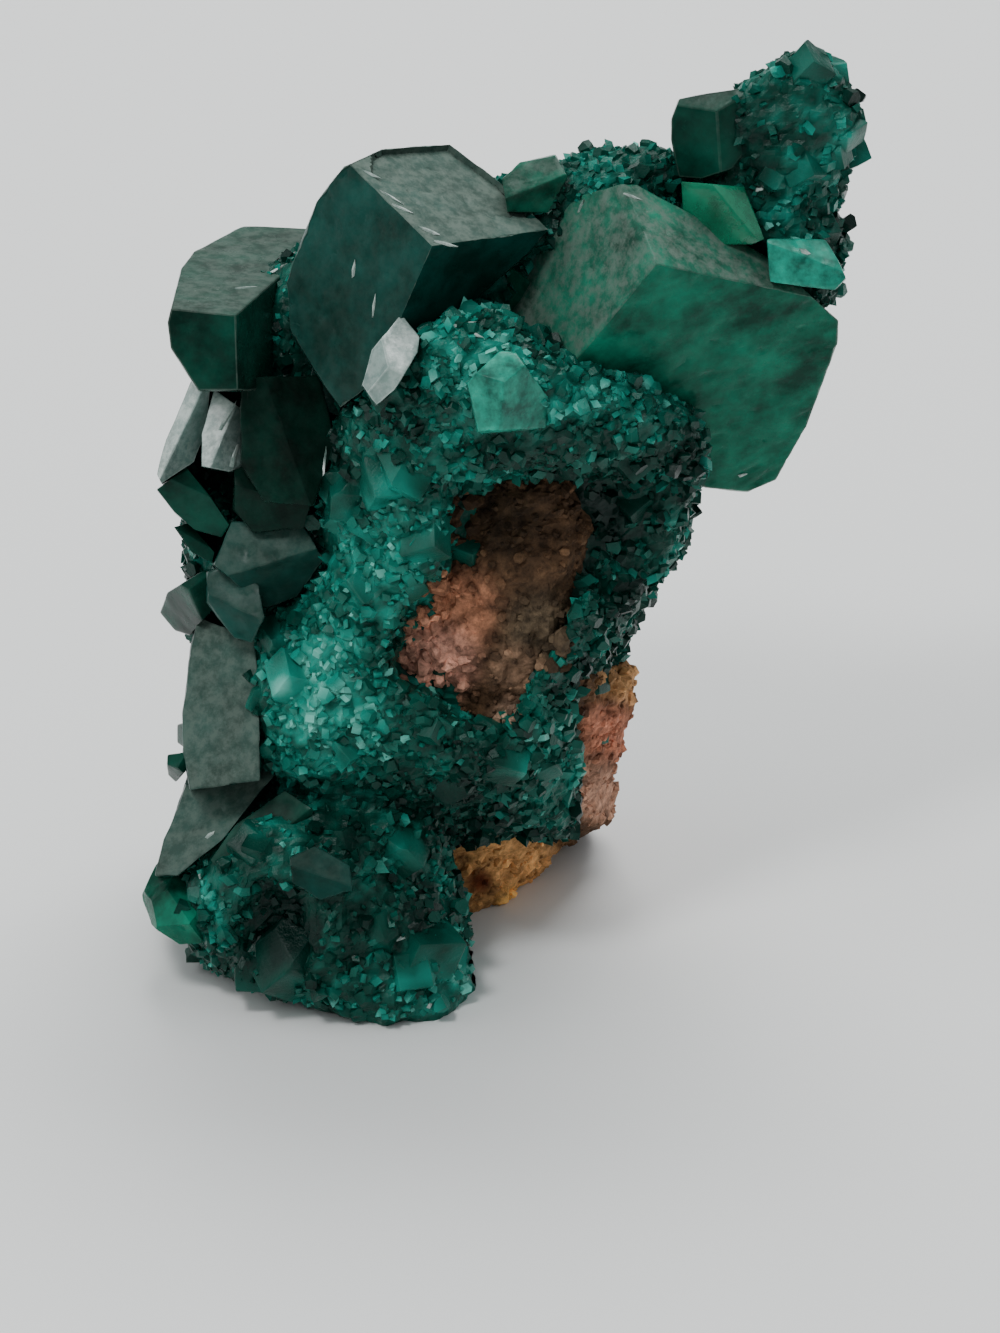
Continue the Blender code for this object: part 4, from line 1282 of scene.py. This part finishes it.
def rock_material():
    """Earthy rock in its own patchy colours, with a fine crumbly grain."""
    material, nodes, links = shader_of("rock")
    shader = nodes["Principled BSDF"]
    earth = attribute(nodes, "earth")
    grain = noise_texture(nodes, links, 0.5, 6, 0.75)
    shade = map_range(nodes, links, grain.outputs["Fac"], (0.32, 0.68), (0.3, 1.7))
    tone = nodes.new("ShaderNodeVectorMath")
    tone.operation = "SCALE"
    links.new(earth.outputs["Color"], tone.inputs["Vector"])
    links.new(shade, tone.inputs["Scale"])
    links.new(tone.outputs["Vector"], shader.inputs["Base Color"])
    shader.inputs["Roughness"].default_value = 0.85
    shader.inputs["Specular IOR Level"].default_value = 0.2
    add_bump(nodes, links, 0.2, 0.08, 0.8)
    return material


# Each crystal material: its dark and bright green, its painted sheen colour, roughness, shine,
# how see-through it is, how wide its clouds are in mm, and how evenly the painted sheen lies.
Finish = namedtuple("Finish", "dark bright frost roughness shine clear cloud evenness")
FINISHES = {
    "glassy": Finish((0, .014, .009), (0, .060, .038), GREY_SHEEN, 0.20, 0.05, 0.0, 2.6, 0.45),
    # Near black: painted shade in the recess.
    "deep": Finish((0, .005, .003), (0, .024, .015), GREY_SHEEN, 0.24, 0.04, 0.0, 2.0, 0.45),
    "etched": Finish((0, .036, .021), (0, .185, .108), GREY_SHEEN, 0.26, 0.06, 0.0, 2.6, 0.18),
    "slate": Finish((0, .018, .013), (.002, .056, .044), GREY_SHEEN, 0.34, 0.04, 0.0, 2.6, 0.45),
    "aqua": Finish((0, .08, .055), (.02, .36, .25), GREY_SHEEN, 0.30, 0.15, 0.0, 0.9, 0.45),
    "pale": Finish((0, .05, .04), (.08, .20, .17), WHITE_HIGHLIGHT, 0.16, 0.50, 0.0, 2.6, 0.45),
    "clear": Finish((0, .10, .045), (0, .42, .21), GREY_SHEEN, 0.10, 0.40, 0.5, 2.6, 0.45),
    # Near-white chips: painted highlights.
    "highlight_chip": Finish((.12, .20, .17), (.50, .58, .54), GREY_SHEEN, 0.25, 0.40, 0.0, 0.5, 0.45),
}


def all_materials():
    materials = {name: crystal_material(name, finish) for name, finish in FINISHES.items()}
    materials["druse"] = druse_material()
    materials["rock"] = rock_material()
    return materials


# The stage, the lights and the camera

CAMERA_AWAY = 1.5  # m
PICTURE_HIGH = 0.05332  # m seen from top to bottom, 1333 pixels of 0.04 mm
PICTURE_MIDDLE = 14.54  # mm above the foot, as seen
SENSOR = 36.0  # mm


def make_floor():
    bpy.ops.mesh.primitive_plane_add(size=4)
    floor = bpy.context.object
    floor.name = "floor"
    material, nodes, _ = shader_of("floor")
    shader = nodes["Principled BSDF"]
    shader.inputs["Base Color"].default_value = (0.80, 0.81, 0.80, 1)
    shader.inputs["Roughness"].default_value = 0.7
    floor.data.materials.append(material)


def make_camera():
    data = bpy.data.cameras.new("camera")
    data.sensor_fit = "VERTICAL"
    data.sensor_height = SENSOR
    data.lens = SENSOR * CAMERA_AWAY / PICTURE_HIGH
    data.clip_end = 10
    camera = bpy.data.objects.new("camera", data)
    bpy.context.scene.collection.objects.link(camera)
    turn = Matrix((RIGHT, UPWARD, TOWARD)).transposed().to_4x4()
    aim = (FOOT + UPWARD * PICTURE_MIDDLE) * MM
    camera.matrix_world = Matrix.Translation(aim + TOWARD * CAMERA_AWAY) @ turn
    bpy.context.scene.camera = camera


def softbox(name, place, wide, high, power):
    data = bpy.data.lights.new(name, "AREA")
    data.shape = "RECTANGLE"
    data.size, data.size_y = wide, high
    data.energy = power
    light = bpy.data.objects.new(name, data)
    bpy.context.scene.collection.objects.link(light)
    light.location = place
    aim = Vector((0, 0, 0.02)) - Vector(place)
    light.rotation_euler = aim.to_track_quat("-Z", "Y").to_euler()


def make_lights():
    """A soft light overhead that fades towards the horizon, and three soft boxes."""
    world = bpy.data.worlds.new("studio")
    bpy.context.scene.world = world
    world.use_nodes = True
    nodes, links = world.node_tree.nodes, world.node_tree.links
    direction = nodes.new("ShaderNodeTexCoord")
    split = nodes.new("ShaderNodeSeparateXYZ")
    links.new(direction.outputs["Generated"], split.inputs["Vector"])
    fade = map_range(nodes, links, split.outputs["Z"], (0.0, 0.9), (0.12, 0.75))
    links.new(fade, nodes["Background"].inputs["Strength"])
    nodes["Background"].inputs["Color"].default_value = (0.93, 0.97, 1.0, 1)
    softbox("sky", (0.05, 0.16, 0.30), 0.24, 0.16, 0.9)
    softbox("left", (-0.36, -0.02, 0.20), 0.30, 0.30, 0.45)
    softbox("key", (-0.12, -0.16, 0.34), 0.07, 0.07, 0.6)


def placed_tree(thing):
    """The surface of a finished piece, in millimetres again."""
    return BVHTree.FromPolygons(
        [(v.co / MM - FOOT)[:] for v in thing.data.vertices],
        [p.vertices[:] for p in thing.data.polygons]
    )


def main():
    materials = all_materials()
    make_camera()
    make_lights()
    make_floor()
    rock, rock_samples = make_rock(materials["rock"])
    samples, ground = make_body(materials["druse"])
    make_studs(ground, materials["druse"])
    make_crust(samples, rock, materials["druse"])
    make_crumbs(rock_samples, samples, materials["rock"])
    crystals = make_big_crystals(materials)
    trees = [placed_tree(thing) for thing in crystals] + [ground]
    make_highlight_chips(trees, materials["highlight_chip"])


main()
